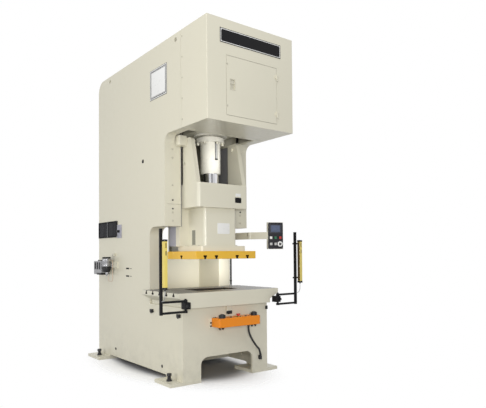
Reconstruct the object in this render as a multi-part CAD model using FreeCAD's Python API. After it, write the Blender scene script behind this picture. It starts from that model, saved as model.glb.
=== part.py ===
"""Single-crank C-frame stamping press with slide, bolster, light guards, console and pendant.

Millimetres. X runs across the press, Y from front to back, Z up from the floor. While it is built,
Y is measured from the front of the head; every piece is then shifted so that Y = 0 is the middle
of the frame's depth.
"""
import FreeCAD, Part
import math
import os
from FreeCAD import Vector

os.makedirs("parts", exist_ok=True)

# ---- fits and clearances -------------------------------------------------------------------
FIT = 0.08              # radial running fit of shafts in bushes
CUT_OVER = 10.0         # how far a hollow runs into the next one
WELD_IN = 5.0           # how far a welded piece runs into its neighbour
SEAT_GAP = 0.3          # gap between parts that move past each other

# ---- frame ---------------------------------------------------------------------------------
FRAME_HALF = 565.0      # half of the width over the side plates
FRAME_HEIGHT = 3700.0
FRAME_DEPTH = 2672.0
PLATE = 30.0            # side, front and rear plates
CROWN_RADIUS = 150.0    # rounded top rear corner
HEAD_PLATE_Y = 490.0    # front edge of the crown plates, behind the head cover
BEARING_PLATE = 40.0
HEAD_HEIGHT = 1030.0
HEAD_BOTTOM = FRAME_HEIGHT - HEAD_HEIGHT
HEAD_FLOOR = 20.0
HEAD_FILLET = 95.0      # curve between head and column front
HEAD_GAP_HALF = 450.0   # half width of the opening under the head
JAW_FRONT = 841.0
JAW_INNER = 361.0
JAW_BOTTOM = 1665.0
THROAT_Y = 1198.0
THROAT_RADIUS = 100.0
COLUMN_INNER = 400.0    # inner faces of the column boxes
BACK_WALL_Y = 1660.0
BACK_WALL_TOP = 1380.0
WINDOW_EDGE = 55.0       # rear window to the outer faces of the side plates
WINDOW_HALF = FRAME_HALF - WINDOW_EDGE
WINDOW_TOP = 1850.0
BED_FRONT = 473.0
BED_TOP = 795.0
BED_DECK = 40.0
ARCH_HALF = 345.0
ARCH_TOP = 260.0
ARCH_RADIUS = 85.0
FOOT_PLATE = 35.0
FOOT_REACH = 150.0      # feet reach this far out from the side plates
FOOT_OUT = FRAME_HALF + FOOT_REACH
FRONT_FOOT = (470.0, 810.0)
REAR_FOOT = (2310.0, 2680.0)
SIDE_LIFT = 20.0        # side plates stand clear of the floor between the feet
LIFT_INSET = 20.0       # raised sill starts behind the front foot plates
LIFT_HOLE_DROP = 68.0    # lifting holes below the top of the frame
LIFT_HOLES = ((597.0, FRAME_HEIGHT - LIFT_HOLE_DROP), (2297.0, FRAME_HEIGHT - LIFT_HOLE_DROP))
LIFT_HOLE_R = 25.0
LOWER_HOLES = ((917.0, 130.0), (2128.0, 155.0))
LOWER_HOLE_R = 15.0
COLUMN_HOLE = (1359.0, 2445.0)
ACCESS_HALF = 440.0     # rear access opening of the crown
ACCESS_REACH = 560.0     # bottom of the rear opening below the head
ACCESS_LOW = HEAD_BOTTOM - ACCESS_REACH
ACCESS_DROP = 260.0      # top of the rear opening below the top of the frame
ACCESS_HIGH = FRAME_HEIGHT - ACCESS_DROP
MOTOR_SHELF = (1700.0, 2140.0)
SHELF_DROP = 660.0       # motor shelf below the head
MOTOR_SHELF_T = 30.0
LEVEL_BOLT_X = FRAME_HALF + FOOT_REACH / 2.0
LEVEL_BOLT_R = 19.0
LEVEL_HEAD_R = 30.0
LEVEL_HEAD_H = 24.0
LEVEL_BOLT_H = 78.0     # top of the head above the foot plate
LEVEL_BOLT_YS = (630.0, 2480.0)

# ---- head cover, door, plates --------------------------------------------------------------
SHEET = 5.0
COVER_RADIUS = SHEET * 1.5
COVER_DEPTH = 485.0
COVER_TAB = 25.0
COVER_SCREW_Y = 462.0
COVER_SCREWS = 5
COVER_SCREW_EDGES = (85.0, 73.0)    # end screws from the bottom and the top of the cover
COVER_SCREW_R = 9.0
COVER_SCREW_HEAD = 4.0
DOOR_HALF = 334.0
DOOR_EDGE = 68.0        # door opening above the underside of the head
DOOR_HEIGHT = 604.0
DOOR_LOW = HEAD_BOTTOM + DOOR_EDGE
DOOR_HIGH = DOOR_LOW + DOOR_HEIGHT
DOOR_GAP = 3.0
HINGE_R = 6.0
HINGE_LENGTH = 70.0
MID_KNUCKLE_HALF = HINGE_LENGTH / 6     # three equal knuckles per hinge
HINGE_INSET = 102.0      # hinge middles from the ends of the door
HINGE_ZS = (DOOR_LOW + HINGE_INSET, DOOR_HIGH - HINGE_INSET)
HINGE_LEAF = 26.0
PULL_DEPTH = 25.0
PULL_WALL = 4.0
HANDLE_X = -255.0
HANDLE_HALF = 29.0
HANDLE_RISE = 264.0
HANDLE_LENGTH = 106.0
HANDLE_LOW = DOOR_LOW + HANDLE_RISE
HANDLE_HIGH = HANDLE_LOW + HANDLE_LENGTH
NAMEPLATE_XS = (-408.0, 389.0)
NAMEPLATE_DROPS = (244.0, 98.0)     # lower and upper edge below the top of the cover
NAMEPLATE_T = 3.0
SIDE_BADGE_YS = (785.0, 1170.0)
SIDE_BADGE_DROPS = (593.0, 253.0)
SIDE_BADGE_T = 2.0
REAR_COVER_LAP = 30.0
REAR_COVER_T = 4.0

# ---- crank drive ---------------------------------------------------------------------------
CRANK_Y = 785.0         # middle of the slide, plunger and connecting rod
CRANK_RISE = 630.0      # crank axis above the underside of the head
CRANK_Z = HEAD_BOTTOM + CRANK_RISE
CRANK_RADIUS = 100.0    # half of the stroke
JOURNAL_R = 70.0
BEARING_R = 100.0
BEARING_LIP = 6.0
CRANK_PIN_R = 60.0
ROD_END_WIDTH = 130.0
WEB = 75.0
WEB_R = 150.0
WEB_PIN_R = 95.0
CRANK_FRONT = 470.0
CRANK_REAR = 1255.0
ROD_LENGTH = 330.0
ROD_EYE_WIDTH = 96.0
ROD_EYE_R = 60.0
ROD_BIG_R = 100.0
ROD_SHANK = 70.0
ROD_TAPER = (0.75, 0.8)     # half widths of the shank over the eye and big-end radii
ROD_WEB = 26.0
ROD_EAR = 28.0          # bolt ears beyond the big end
ROD_EAR_HALF = 34.0
ROD_EAR_INSET = 15.0
ROD_POCKET = (26.0, 40.0)   # half widths of the I-section pockets, low and high
ROD_POCKET_EDGE = 12.0
WRIST_R = 32.0
CLEVIS_GAP = 4.0        # each side of the rod's lower eye
CLEVIS_EAR = 36.0
CLEVIS_R = 65.0
CLEVIS_HALF = 75.0
CLEVIS_DROP = 95.0      # clevis floor below the wrist pin
CLEVIS_FLOOR = 19.0
PLUNGER_R = 95.0
PLUNGER_BOTTOM = 1760.0
GUIDE_R = 115.0
GUIDE_FLANGE_R = 190.0
GUIDE_FLANGE = 24.0
GUIDE_PLATE_RISE = 42.0
GUIDE_PLATE_LOW = HEAD_BOTTOM + GUIDE_PLATE_RISE
GUIDE_PLATE = 40.0
GUIDE_PLATE_HALF = 255.0
GUIDE_BOLTS = 6
GUIDE_BOLT_CIRCLE = 155.0
GUIDE_BOLT_R = 15.0
GUIDE_BOLT_HEAD = 16.0
GAUGE_SHARES = (0.324, 0.861)    # ends of the gauge along the guide, from its bottom
GAUGE_WIDTH = 34.0
GAUGE_T = 8.0
GAUGE_SINK = 12.0       # gauge back behind the skin of the guide
GAUGE_TURN = 62.0       # degrees round the guide, to the right of the front
DRIVE_DROP = 340.0      # drive shaft below the crankshaft
DRIVE_Z = CRANK_Z - DRIVE_DROP
DRIVE_R = 30.0
DRIVE_END = 30.0        # drive shaft behind the flywheel
HOUSING_REAR = 1420.0
HOUSING_R = 300.0
HOUSING_LOW_R = 110.0
HOUSING_BORE = 120.0    # how far the drive shaft reaches into the gear housing
FLYWHEEL = (2150.0, 2290.0)
FLYWHEEL_R = 460.0
FLYWHEEL_RIM = 70.0
FLYWHEEL_WEB = 40.0
FLYWHEEL_HUB_R = 80.0
FLYWHEEL_HOLES = 6
FLYWHEEL_HOLE_R = 60.0
MOTOR_DROP = 770.0      # motor below the drive shaft
MOTOR_Z = DRIVE_Z - MOTOR_DROP
MOTOR_R = 140.0
MOTOR = (1740.0, 2110.0)
MOTOR_CHAMFER = 16.0
MOTOR_FOOT = (60.0, 22.0)       # foot from the ends of the drum, and its thickness
MOTOR_NECK = 80.0
MOTOR_NECK_HALF = MOTOR_R * 0.6
TERMINAL = (120.0, 240.0)       # terminal box from the front end of the drum
TERMINAL_ZS = (10.0, 90.0)      # below and above the axis
TERMINAL_OUT = 45.0
PULLEY_R = 85.0
PULLEY_SHAFT_R = 19.0
PULLEY_SHAFT_IN = 60.0
PULLEY_SHAFT_OUT = 5.0
BELTS = 4
BELT_PITCH = 26.0
BELT_WIDTH = 16.0
BELT_T = 11.0

# ---- slide ---------------------------------------------------------------------------------
SLIDE_HALF = 335.0
SLIDE_FRONT = 520.0
SLIDE_BACK = 1150.0
SLIDE_TOP = 2130.0
GUIDE_CLEAR = 135.0     # plunger guide above the slide, with the slide down
GUIDE_BOTTOM = SLIDE_TOP + GUIDE_CLEAR
SLIDE_STEP = 1865.0     # underside of the wide upper box
SLIDE_RADIUS = 35.0
FLANGE_RADIUS = SLIDE_RADIUS * 0.6
FLANGE_BACK_INSET = 40.0    # flange ends this far ahead of the slide plate's back
NECK_HALF = 215.0
NECK_FRONT = 583.0
NECK_BACK = 920.0
NECK_RADIUS = 30.0
FLANGE_HALF = 297.0
FLANGE_TOP = 1443.0
PLATE_TOP = 1385.0      # joint between slide flange and slide plate
POCKET_HALF = 275.0     # open top of the slide, round the plunger guide
POCKET = (590.0, 980.0)
POCKET_FLOOR = 1930.0
SLIDE_BORE_FLOOR = 1640.0
EAR_INNER = 285.0
EAR_DROP = 30.0         # top of the ears below the head, with the slide down
EAR_TOP = HEAD_BOTTOM - EAR_DROP
EAR_BACK = 838.0
EAR_TIP = 670.0         # front of the ears at their top
EAR_RADIUS = 40.0
EAR_HOLE_DROP = 25.0    # ear hole below the middle of the ear
EAR_HOLE = (804.0, (SLIDE_TOP + EAR_TOP) / 2 - EAR_HOLE_DROP)
EAR_HOLE_R = 14.0
BOSS_DROP = 63.0        # boss below the top of the ear
BOSS_YZ = (757.0, EAR_TOP - BOSS_DROP)
BOSS_R = 22.0
BOSS_LENGTH = 18.0
NECK_SLOT = (804.0, 816.0, 1459.0, 1623.0)
NECK_SLOT_DEPTH = 12.0
RAIL_FRONT = 1000.0
RAIL_WIDTH = 40.0
RAIL_BOTTOM = 1445.0
ROD_X = 385.0           # counterbalance rods
LUG_OUT = 432.0
LUG = (752.0, 828.0)
LUG_HEIGHT = 108.0
LUG_RADIUS = 12.0
LUG_RISE = 22.0         # lugs above the top of the ears
LUG_HIGH = EAR_TOP + LUG_RISE
LUG_LOW = LUG_HIGH - LUG_HEIGHT
LUG_SEAT = 30.0         # solid floor of each lug under its rod
NUT_R = 130.0
NUT_HEIGHT = 20.0
NUT_NOTCHES = 8
NUT_NOTCH_R = 12.0
SLIDE_PLATE_HALF = 403.0
SLIDE_PLATE = (470.0, 1070.0)
SLIDE_PLATE_LOW = 1300.0
SLIDE_PLATE_SLOTS = (-285.0, -140.0, 140.0, 285.0)
GIB_DROP = 30.0
GIB_TOP = HEAD_BOTTOM - GIB_DROP
GIB_FRONT = 870.0
STRIP_T = 20.0
STRIP_SEAM = 1908.0
STRIP_DROP = 100.0
STRIP_TOP = HEAD_BOTTOM - STRIP_DROP
STRIP_BOLT_X = 467.0
STRIP_BOLT_DROPS = (149.0, 53.0)     # upper two bolts below the top of the strip
STRIP_BOLT_ZS = [1725.0, 1816.0, 1857.0, 1953.0, 2117.0] + [STRIP_TOP - drop for drop in STRIP_BOLT_DROPS]
STRIP_BOLT_R = 12.0
STRIP_BOLT_HEAD = 8.0
CYLINDER_R = 60.0
CYLINDER_BORE = 50.0
CYLINDER_RISE = 320.0
CYLINDER_LENGTH = 510.0
CYLINDER_LOW = HEAD_BOTTOM + CYLINDER_RISE
CYLINDER_HIGH = CYLINDER_LOW + CYLINDER_LENGTH
CYLINDER_CAP = 30.0
CYLINDER_FOOT = 50.0
CB_ROD_R = 19.0
PISTON_RISE = 50.0
PISTON_LOW = CYLINDER_LOW + PISTON_RISE
PISTON_T = 40.0

# ---- bolster -------------------------------------------------------------------------------
BOLSTER_HALF = 667.0
BOLSTER_INSET = 20.0     # bolster foot inside the side plates
BOLSTER_FOOT_HALF = FRAME_HALF - BOLSTER_INSET
BOLSTER = (388.0, 1188.0)
BOLSTER_TOP = 955.0
WING_LOW = 905.0
WING_ROOT = 840.0
SLOT_PITCH = 150.0
SLOTS = 5
SLOT_NECK = 24.0
SLOT_NECK_DEPTH = 22.0
SLOT_FOOT = 42.0
SLOT_FOOT_DEPTH = 18.0
DIE_HOLE_HALF = 280.0
DIE_HOLE_DEPTH = 330.0
DIE_HOLE_RADIUS = 20.0

# ---- light guards --------------------------------------------------------------------------
POST_X = 893.0
POST_Y = 335.0
POST_HALF = 15.0
POST_LOW = 758.0
POST_HIGH = 1605.0
PIVOT_X = 615.0
PIVOT_R = 12.0
PIVOT_LOW = 762.0
PIVOT_HIGH = 905.0
ARM_ZS = (775.0, 882.0)
ARM_HALF = 10.0
ARM_EYE_R = 20.0
CLAMP_LOW = 802.0
CLAMP_HIGH = 864.0
CLAMP_HALF = 30.0
CLAMP_BACK_HIGH = 892.0     # top of the clamp's back plate on the bolster front
CLAMP_BACK_EDGE = 5.0       # back plate outside the bolster foot
CLAMP_KNOB_R = 10.0
CLAMP_KNOB_LENGTH = 16.0
CLAMP_KNOB_INSET = 18.0
LIGHT_BAR_Y = 256.0
LIGHT_BAR_HALF = 27.0
LIGHT_BAR_LOW = 1012.0
LIGHT_BAR_HIGH = 1532.0
LIGHT_BAR_CAP = 22.0
LIGHT_BAR_RADIUS = 6.0
LENS_HALF = 14.0
LENS_DEEP = 4.0
BRACKET_ZS = (1070.0, 1490.0)
BRACKET_T = 12.0

# ---- console -------------------------------------------------------------------------------
CONSOLE_X = (-212.0, 332.0)
CONSOLE_FRONT = 310.0
CONSOLE_BACK = 430.0
CONSOLE_LOW = 577.0
CONSOLE_HIGH = 672.0
CONSOLE_RADIUS = 8.0
CONSOLE_BRACKETS = (-190.0, 300.0)
CONSOLE_BRACKET_HALF = 20.0
CONSOLE_BRACKET_INSETS = (10.0, 20.0)   # brackets inside the console, low and high
PALM_XS = (-155.0, 275.0)
CONTROL_Y = 352.0
PALM_R = 24.0
PALM_DOME = 0.45        # share of a cap's height in its rounded edge
PALM_H = 20.0
PALM_STEM_R = 14.0
PALM_TRAVEL = 6.0
PALM_RISE = 14.0
PALM_DEEP = 8.0
PALM_POCKET = 16.0
COLLAR_R = 36.0
COLLAR_H = 34.0
WINDOW_LOW = COLLAR_H * 0.55
PALM_WINDOW_HALF = PALM_R * 0.6
COLLAR_GAP = 3.0
STOP_X = 60.0
STOP_R = 20.0
STOP_BASE_R = 30.0
STOP_BASE_H = 6.0
KEYS = (("start", -40.0), ("inch", 160.0))
LAMP_XS = (-82.0, 2.0, 202.0)
KEY_R = 11.0
KEY_H = 8.0
KEY_DEEP = 6.0
KEY_POCKET = 10.0
GLAND_XS = (-172.0, -132.0, 60.0, 212.0, 280.0)
GLAND_R = 15.0
GLAND_H = 24.0
GLAND_NUT = GLAND_H * 0.6
GLAND_NOSE_R = GLAND_R * 0.8
GLAND_Y = 370.0
HOSE_R = 11.0
HOSE_ROUTE = (
    (212.0, 370.0, 553.0), (214.0, 371.0, 500.0), (245.0, 378.0, 440.0), (292.0, 395.0, 384.0),
    (366.0, 416.0, 306.0), (424.0, 437.0, 268.0), (448.0, 452.0, 198.0),
)
HOSE_SHOULDER = 0.45      # share of the shorter run that a bend may take
FITTING_HALF = 18.0
FITTING_LOW = 150.0
FITTING_NECK = 10.0

# ---- pendant -------------------------------------------------------------------------------
ROOT_IN = 25.0           # root pin inside the face of the side plate
ELBOW_OUT = 35.0
TIP_OUT = 150.0
PENDANT_ROOT = (FRAME_HALF - ROOT_IN, 1140.0)
PENDANT_ELBOW = (FRAME_HALF + ELBOW_OUT, 820.0)
PENDANT_TIP = (FRAME_HALF + TIP_OUT, 622.0)
LINK_LOW = 1530.0
LINK_HIGH = 1614.0
LINK_HALF = 22.0
LINK_EYE_R = 30.0
EYE_CLEAR = 4.0         # room round an eye where the other arm passes
LINK_PIN_R = 12.0
PIN_HEAD_R = LINK_PIN_R * 1.5
LUG_T = 22.0
PIN_HEAD = 8.0
BRACKET_DROP = 90.0
PENDANT_RADIUS = 8.0
PENDANT_YAW = -25.0
PENDANT_WIDTH = 195.0
PENDANT_DEPTH = 55.0
PENDANT_LOW = 1408.0
PENDANT_HIGH = 1732.0
SCREEN = (22.0, 173.0, 1600.0, 1706.0)
SCREEN_DEEP = 3.0
PENDANT_KEYS = (("white", 40.0), ("green", 97.0), ("red", 155.0))
PENDANT_KEY_Z = 1545.0
PENDANT_LAMP_XS = (40.0, 97.0)
PENDANT_KEY_R = 14.0
DIAL_X = 155.0
DIAL_Z = 1470.0
DIAL_R = 18.0
DIAL_H = 10.0
DIAL_STEM_R = 5.0
DIAL_GRIP_HALF = 4.0
DIAL_GRIP_H = 7.0
DIAL_GRIP_INSET = 2.0

# ---- left side equipment -------------------------------------------------------------------
PANEL = (2068.0, 2660.0, 1578.0, 1788.0)
PANEL_T = 12.0
PANEL_RIM = 16.0
LATCH_BOX = (1944.0, 2064.0, 1566.0, 1735.0)
LATCH_BOX_T = 30.0
LATCH_BOX_RADIUS = 6.0
LEVER_R = 9.0
LEVER_BOSS_R = LEVER_R * 1.7
LEVER_T = 12.0          # lever in front of the latch box
LEVER_GAP = 4.0         # blade clear of the latch box
LEVER_LENGTH = 62.0
AIR_PLATE = (2060.0, 2560.0, 1180.0, 1260.0)
AIR_PLATE_T = 12.0
BOWL_OUT = 85.0          # axis of the bowl beyond the side plate
BOWL_X = -FRAME_HALF - BOWL_OUT
BOWL_Y = 2220.0
BOWL_R = 56.0
BOWL_LOW = 1125.0
BOWL_NECK = 1270.0
BOWL_HIGH = 1331.0
KNOB_R = 34.0
KNOB_H = 46.0
KNOB_CHAMFER = 6.0
KNOB_COVER = 8.0        # stem ends this far below the top of the bowl unit
BOWL_SHOULDER = 12.0
BOWL_CURVE = ((0.82, 22.0), (1.0, 40.0))    # share of the radius and height of the dished end
BOWL_ARM = (22.0, 10.0)     # half width of the bowl's arm, and its inset from the plate
VALVE = (2300.0, 2540.0, 1100.0, 1275.0)
VALVE_DEPTH = 125.0
VALVE_OUT = -FRAME_HALF - VALVE_DEPTH
VALVE_RADIUS = 10.0
PIPE_R = 7.0
PIPE_BEND = 30.0
PIPE_RISE = 20.0         # pipe above the lower edge of the air plate
PIPE_YS = (2060.0, 2140.0)
PIPE_LOW = 1020.0
PIPE_OUT = 75.0
PIPE_X = -FRAME_HALF - PIPE_OUT
SENSORS = ((1136.0, 719.0), (544.0, 711.0))
SENSOR_HALF = (22.0, 14.0)
SENSOR_T = 18.0
CONDUIT_OUT = 9.0        # axis of the conduit beyond the side plate
CONDUIT_X = FRAME_HALF + CONDUIT_OUT
CONDUIT_Y = 1185.0
CONDUIT_R = 11.0
CONDUIT_HIGH = 1560.0
STOPPER_X = (8.0, 66.0)
STOPPER_Z = (725.0, 794.0)
STOPPER_T = 18.0
STOPPER_NOSE = (16.0, 34.0)    # side inset and height of the nose
JUNCTION = (24.0, 712.0, 752.0)    # width, low and high edge of the right front block
CLIP_END = 60.0
CLIP_HALF = 8.0
CLIP_YS = (4.0, 40.0)
CLIP_WALL = 3.0
ORIGIN_Y = FRAME_DEPTH / 2.0 + 4.0

made = {}


# ---- helpers -------------------------------------------------------------------------------
def block(x0, x1, y0, y1, z0, z1):
    """A box between two corners."""
    low = Vector(min(x0, x1), min(y0, y1), min(z0, z1))
    return Part.makeBox(abs(x1 - x0), abs(y1 - y0), abs(z1 - z0), low)


def bar(radius, start, end):
    """A round bar from start to end."""
    start = Vector(*start)
    run = Vector(*end) - start
    return Part.makeCylinder(radius, run.Length, start, run)


def prism(points, run):
    """A straight prism on a closed outline of points."""
    corners = [Vector(*point) for point in points]
    wire = Part.makePolygon(corners + [corners[0]])
    return Part.Face(wire).extrude(Vector(*run))


def side_prism(points, x0, x1):
    """A prism along X on an outline given as (y, z)."""
    return prism([(x0, y, z) for y, z in points], (x1 - x0, 0, 0))


def front_prism(points, y0, y1):
    """A prism along Y on an outline given as (x, z)."""
    return prism([(x, y0, z) for x, z in points], (0, y1 - y0, 0))


def plan_prism(points, z0, z1):
    """A prism along Z on an outline given as (x, y)."""
    return prism([(x, y, z0) for x, y in points], (0, 0, z1 - z0))


def edges_along(shape, axis, test):
    """The straight edges that run along an axis and whose middle passes a test."""
    found = []
    for edge in shape.Edges:
        if not isinstance(edge.Curve, Part.Line):
            continue
        run = edge.Vertexes[-1].Point - edge.Vertexes[0].Point
        if run.Length < 0.5 or abs(abs(run.dot(Vector(*axis))) - run.Length) > 1e-6 * run.Length:
            continue
        if test(edge.CenterOfMass):
            found.append(edge)
    return found


def rounded(shape, radius, axis, test=lambda point: True):
    """The shape with some straight edges rounded."""
    return shape.makeFillet(radius, edges_along(shape, axis, test))


def near(a, b):
    return abs(a - b) < 0.5


def joined(first, others):
    return first.fuse(list(others)).removeSplitter()


def group(shapes):
    return Part.makeCompound(list(shapes))


def ring(outer, inner, start, end):
    """A tube between two points."""
    start_v = Vector(*start)
    run = Vector(*end) - start_v
    over = run.normalize() * 1.0
    low = start_v - over
    high = Vector(*end) + over
    return bar(outer, start, end).cut(bar(inner, tuple(low), tuple(high)))


def placed(name, shape):
    """Keep a finished piece under its name."""
    made[name] = shape


# ---- frame ---------------------------------------------------------------------------------
def frame_envelope():
    """The full-width C profile, before it is hollowed into plates."""
    outline = [
        (BED_FRONT, FOOT_PLATE), (BED_FRONT, BED_TOP), (THROAT_Y, BED_TOP),
        (THROAT_Y, JAW_BOTTOM), (JAW_FRONT, JAW_BOTTOM), (JAW_FRONT, HEAD_BOTTOM),
        (HEAD_PLATE_Y, HEAD_BOTTOM), (HEAD_PLATE_Y, FRAME_HEIGHT),
        (FRAME_DEPTH, FRAME_HEIGHT), (FRAME_DEPTH, FOOT_PLATE),
    ]
    body = side_prism(outline, -FRAME_HALF, FRAME_HALF)
    across = (1, 0, 0)
    body = rounded(body, THROAT_RADIUS, across,
                   lambda p: near(p.y, THROAT_Y) and near(p.z, JAW_BOTTOM))
    body = rounded(body, HEAD_FILLET, across,
                   lambda p: near(p.y, JAW_FRONT) and near(p.z, HEAD_BOTTOM))
    return rounded(body, CROWN_RADIUS, across,
                   lambda p: near(p.y, FRAME_DEPTH) and near(p.z, FRAME_HEIGHT))


def crown_hollows():
    """Space for the crank at the front and for the drive at the rear."""
    inner = FRAME_HALF - PLATE
    front_y = HEAD_PLATE_Y + BEARING_PLATE
    rear_y = FRAME_DEPTH - PLATE
    web_y = crank_web_y()
    top = FRAME_HEIGHT - PLATE
    crank_room = block(-inner, inner, front_y, web_y, HEAD_BOTTOM + HEAD_FLOOR, top)
    under_gap = block(-HEAD_GAP_HALF, HEAD_GAP_HALF, front_y, web_y - BEARING_PLATE,
                      HEAD_BOTTOM - CUT_OVER, HEAD_BOTTOM + HEAD_FLOOR + 1)
    drive_outline = [
        (web_y + BEARING_PLATE, HEAD_BOTTOM + HEAD_FLOOR), (web_y + BEARING_PLATE, top),
        (rear_y, top), (rear_y, BACK_WALL_TOP), (THROAT_Y + PLATE, BACK_WALL_TOP),
        (THROAT_Y + PLATE, HEAD_BOTTOM + HEAD_FLOOR),
    ]
    drive_room = side_prism(drive_outline, -inner, inner)
    drive_room = rounded(drive_room, CROWN_RADIUS - PLATE, (1, 0, 0),
                         lambda p: near(p.y, rear_y) and near(p.z, top))
    return [crank_room, under_gap, drive_room]


def shelf_height():
    return HEAD_BOTTOM - SHELF_DROP


def crank_web_y():
    """Front of the rear bearing plate: the crank is centred between both plates."""
    return 2 * CRANK_Y - HEAD_PLATE_Y - BEARING_PLATE


def jaw_hollows():
    """The jaws are boxes open to the rear, and the slide runs between them."""
    inner = FRAME_HALF - PLATE
    between = block(-JAW_INNER, JAW_INNER, JAW_FRONT - 1, THROAT_Y + PLATE + 1,
                    JAW_BOTTOM - THROAT_RADIUS - 2 * CUT_OVER, HEAD_BOTTOM + HEAD_FLOOR + 1)
    under_head = block(-HEAD_GAP_HALF, HEAD_GAP_HALF, JAW_FRONT - HEAD_FILLET - 1, JAW_FRONT,
                       HEAD_BOTTOM - HEAD_FILLET - 1, HEAD_BOTTOM + 1)
    hollows = [between, under_head]
    for side in (-1, 1):
        hollows.append(block(side * (JAW_INNER + PLATE), side * inner, JAW_FRONT + 2 * PLATE,
                             THROAT_Y + PLATE + 1, JAW_BOTTOM + THROAT_RADIUS, HEAD_BOTTOM))
    return hollows


def column_hollows():
    """Boxes beside the throat, the open middle and the room behind the back wall."""
    inner = FRAME_HALF - PLATE
    front = THROAT_Y + PLATE
    hollows = [block(-COLUMN_INNER, COLUMN_INNER, THROAT_Y - 1, BACK_WALL_Y,
                     BED_TOP, BACK_WALL_TOP + 1)]
    hollows.append(block(-COLUMN_INNER, COLUMN_INNER, THROAT_Y - THROAT_RADIUS - 2 * CUT_OVER, front + 1,
                         BACK_WALL_TOP - 1, HEAD_BOTTOM))
    for side in (-1, 1):
        hollows.append(block(side * (COLUMN_INNER + PLATE), side * inner, front, BACK_WALL_Y,
                             FOOT_PLATE - 1, BACK_WALL_TOP + 1))
    hollows.append(block(-inner, inner, BACK_WALL_Y + PLATE, FRAME_DEPTH - PLATE,
                         FOOT_PLATE - 1, BACK_WALL_TOP + 1))
    hollows.append(block(-WINDOW_HALF, WINDOW_HALF, FRAME_DEPTH - PLATE - 1, FRAME_DEPTH + 1,
                         BACK_WALL_TOP, WINDOW_TOP))
    hollows.append(block(-ACCESS_HALF, ACCESS_HALF, FRAME_DEPTH - PLATE - 1, FRAME_DEPTH + 1,
                         ACCESS_LOW, ACCESS_HIGH))
    return hollows


def bed_hollows():
    """The scrap space under the deck, the front arch and the hole under the die."""
    inner = FRAME_HALF - PLATE
    under = BED_TOP - BED_DECK
    scrap_room = block(-inner, inner, BED_FRONT + PLATE, THROAT_Y, FOOT_PLATE - 1, under)
    back_room = block(-COLUMN_INNER, COLUMN_INNER, THROAT_Y + PLATE, BACK_WALL_Y,
                      FOOT_PLATE - 1, under)
    arch = block(-ARCH_HALF, ARCH_HALF, BED_FRONT - 1, BED_FRONT + PLATE + 1, -1, ARCH_TOP)
    arch = rounded(arch, ARCH_RADIUS, (0, 1, 0), lambda p: near(p.z, ARCH_TOP))
    y0, y1 = die_hole_y()
    die = block(-DIE_HOLE_HALF, DIE_HOLE_HALF, y0, y1, under - 1, BED_TOP + 1)
    lift = block(-FRAME_HALF - 1, FRAME_HALF + 1, FRONT_FOOT[1] + LIFT_INSET, REAR_FOOT[0], -1,
                 FOOT_PLATE + SIDE_LIFT)
    return [scrap_room, back_room, arch, die, lift]


def die_hole_y():
    """Front and rear edge of the die hole, centred on the middle T-slot."""
    middle = BOLSTER[0] + SLOT_PITCH * (SLOTS - 1) / 2 + first_slot_offset()
    return middle - DIE_HOLE_DEPTH / 2, middle + DIE_HOLE_DEPTH / 2


def first_slot_offset():
    return (BOLSTER[1] - BOLSTER[0] - SLOT_PITCH * (SLOTS - 1)) / 2


def side_holes():
    """Lifting and service holes through the side plates."""
    holes = []
    spots = [(y, z, LIFT_HOLE_R) for y, z in LIFT_HOLES]
    spots += [(y, z, LOWER_HOLE_R) for y, z in LOWER_HOLES]
    spots.append((COLUMN_HOLE[0], COLUMN_HOLE[1], LOWER_HOLE_R))
    for y, z, radius in spots:
        for side in (-1, 1):
            start = (side * (FRAME_HALF - PLATE - 1), y, z)
            holes.append(bar(radius, start, (side * (FRAME_HALF + 1), y, z)))
    return holes


def foot_plates():
    """Four foot plates that reach out beyond the side plates."""
    plates = []
    for side in (-1, 1):
        for y0, y1 in (FRONT_FOOT, REAR_FOOT):
            plate = block(side * ARCH_HALF, side * FOOT_OUT, y0, y1, 0, FOOT_PLATE)
            middle = level_bolt_y(y0)
            hole = bar(LEVEL_BOLT_R + SEAT_GAP, (side * LEVEL_BOLT_X, middle, -1),
                       (side * LEVEL_BOLT_X, middle, FOOT_PLATE + 1))
            plates.append(plate.cut(hole))
    return plates


def level_bolt_y(foot_front):
    return LEVEL_BOLT_YS[0] if foot_front < THROAT_Y else LEVEL_BOLT_YS[1]


def frame_additions():
    """Guide plate under the crank, motor shelf and the tabs behind the head cover."""
    inner = FRAME_HALF - PLATE
    front_y = HEAD_PLATE_Y + BEARING_PLATE
    guide = block(-GUIDE_PLATE_HALF, GUIDE_PLATE_HALF, front_y - 1, crank_web_y() + 1,
                  GUIDE_PLATE_LOW, GUIDE_PLATE_LOW + GUIDE_PLATE)
    shelf_front, shelf_rear = MOTOR_SHELF
    shelf_z = shelf_height()
    shelf = block(-inner - 1, inner + 1, shelf_front, shelf_rear, shelf_z, shelf_z + MOTOR_SHELF_T)
    pieces = [guide, shelf]
    for side in (-1, 1):
        pieces.append(block(side * (inner - WELD_IN), side * (FRAME_HALF - SHEET),
                            COVER_DEPTH - COVER_TAB * 2, HEAD_PLATE_Y + 1,
                            HEAD_BOTTOM + SHEET + WELD_IN, FRAME_HEIGHT - SHEET - WELD_IN))
    return pieces


def bearing_bores():
    """Bores for the crank bearings and the plunger guide."""
    web_y = crank_web_y()
    return [
        bar(BEARING_R, (0, HEAD_PLATE_Y - 1, CRANK_Z), (0, HEAD_PLATE_Y + BEARING_PLATE + 1, CRANK_Z)),
        bar(BEARING_R, (0, web_y - 1, CRANK_Z), (0, web_y + BEARING_PLATE + 1, CRANK_Z)),
        bar(GUIDE_R, (0, CRANK_Y, GUIDE_PLATE_LOW - 1),
            (0, CRANK_Y, GUIDE_PLATE_LOW + GUIDE_PLATE + 1)),
    ]


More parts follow.
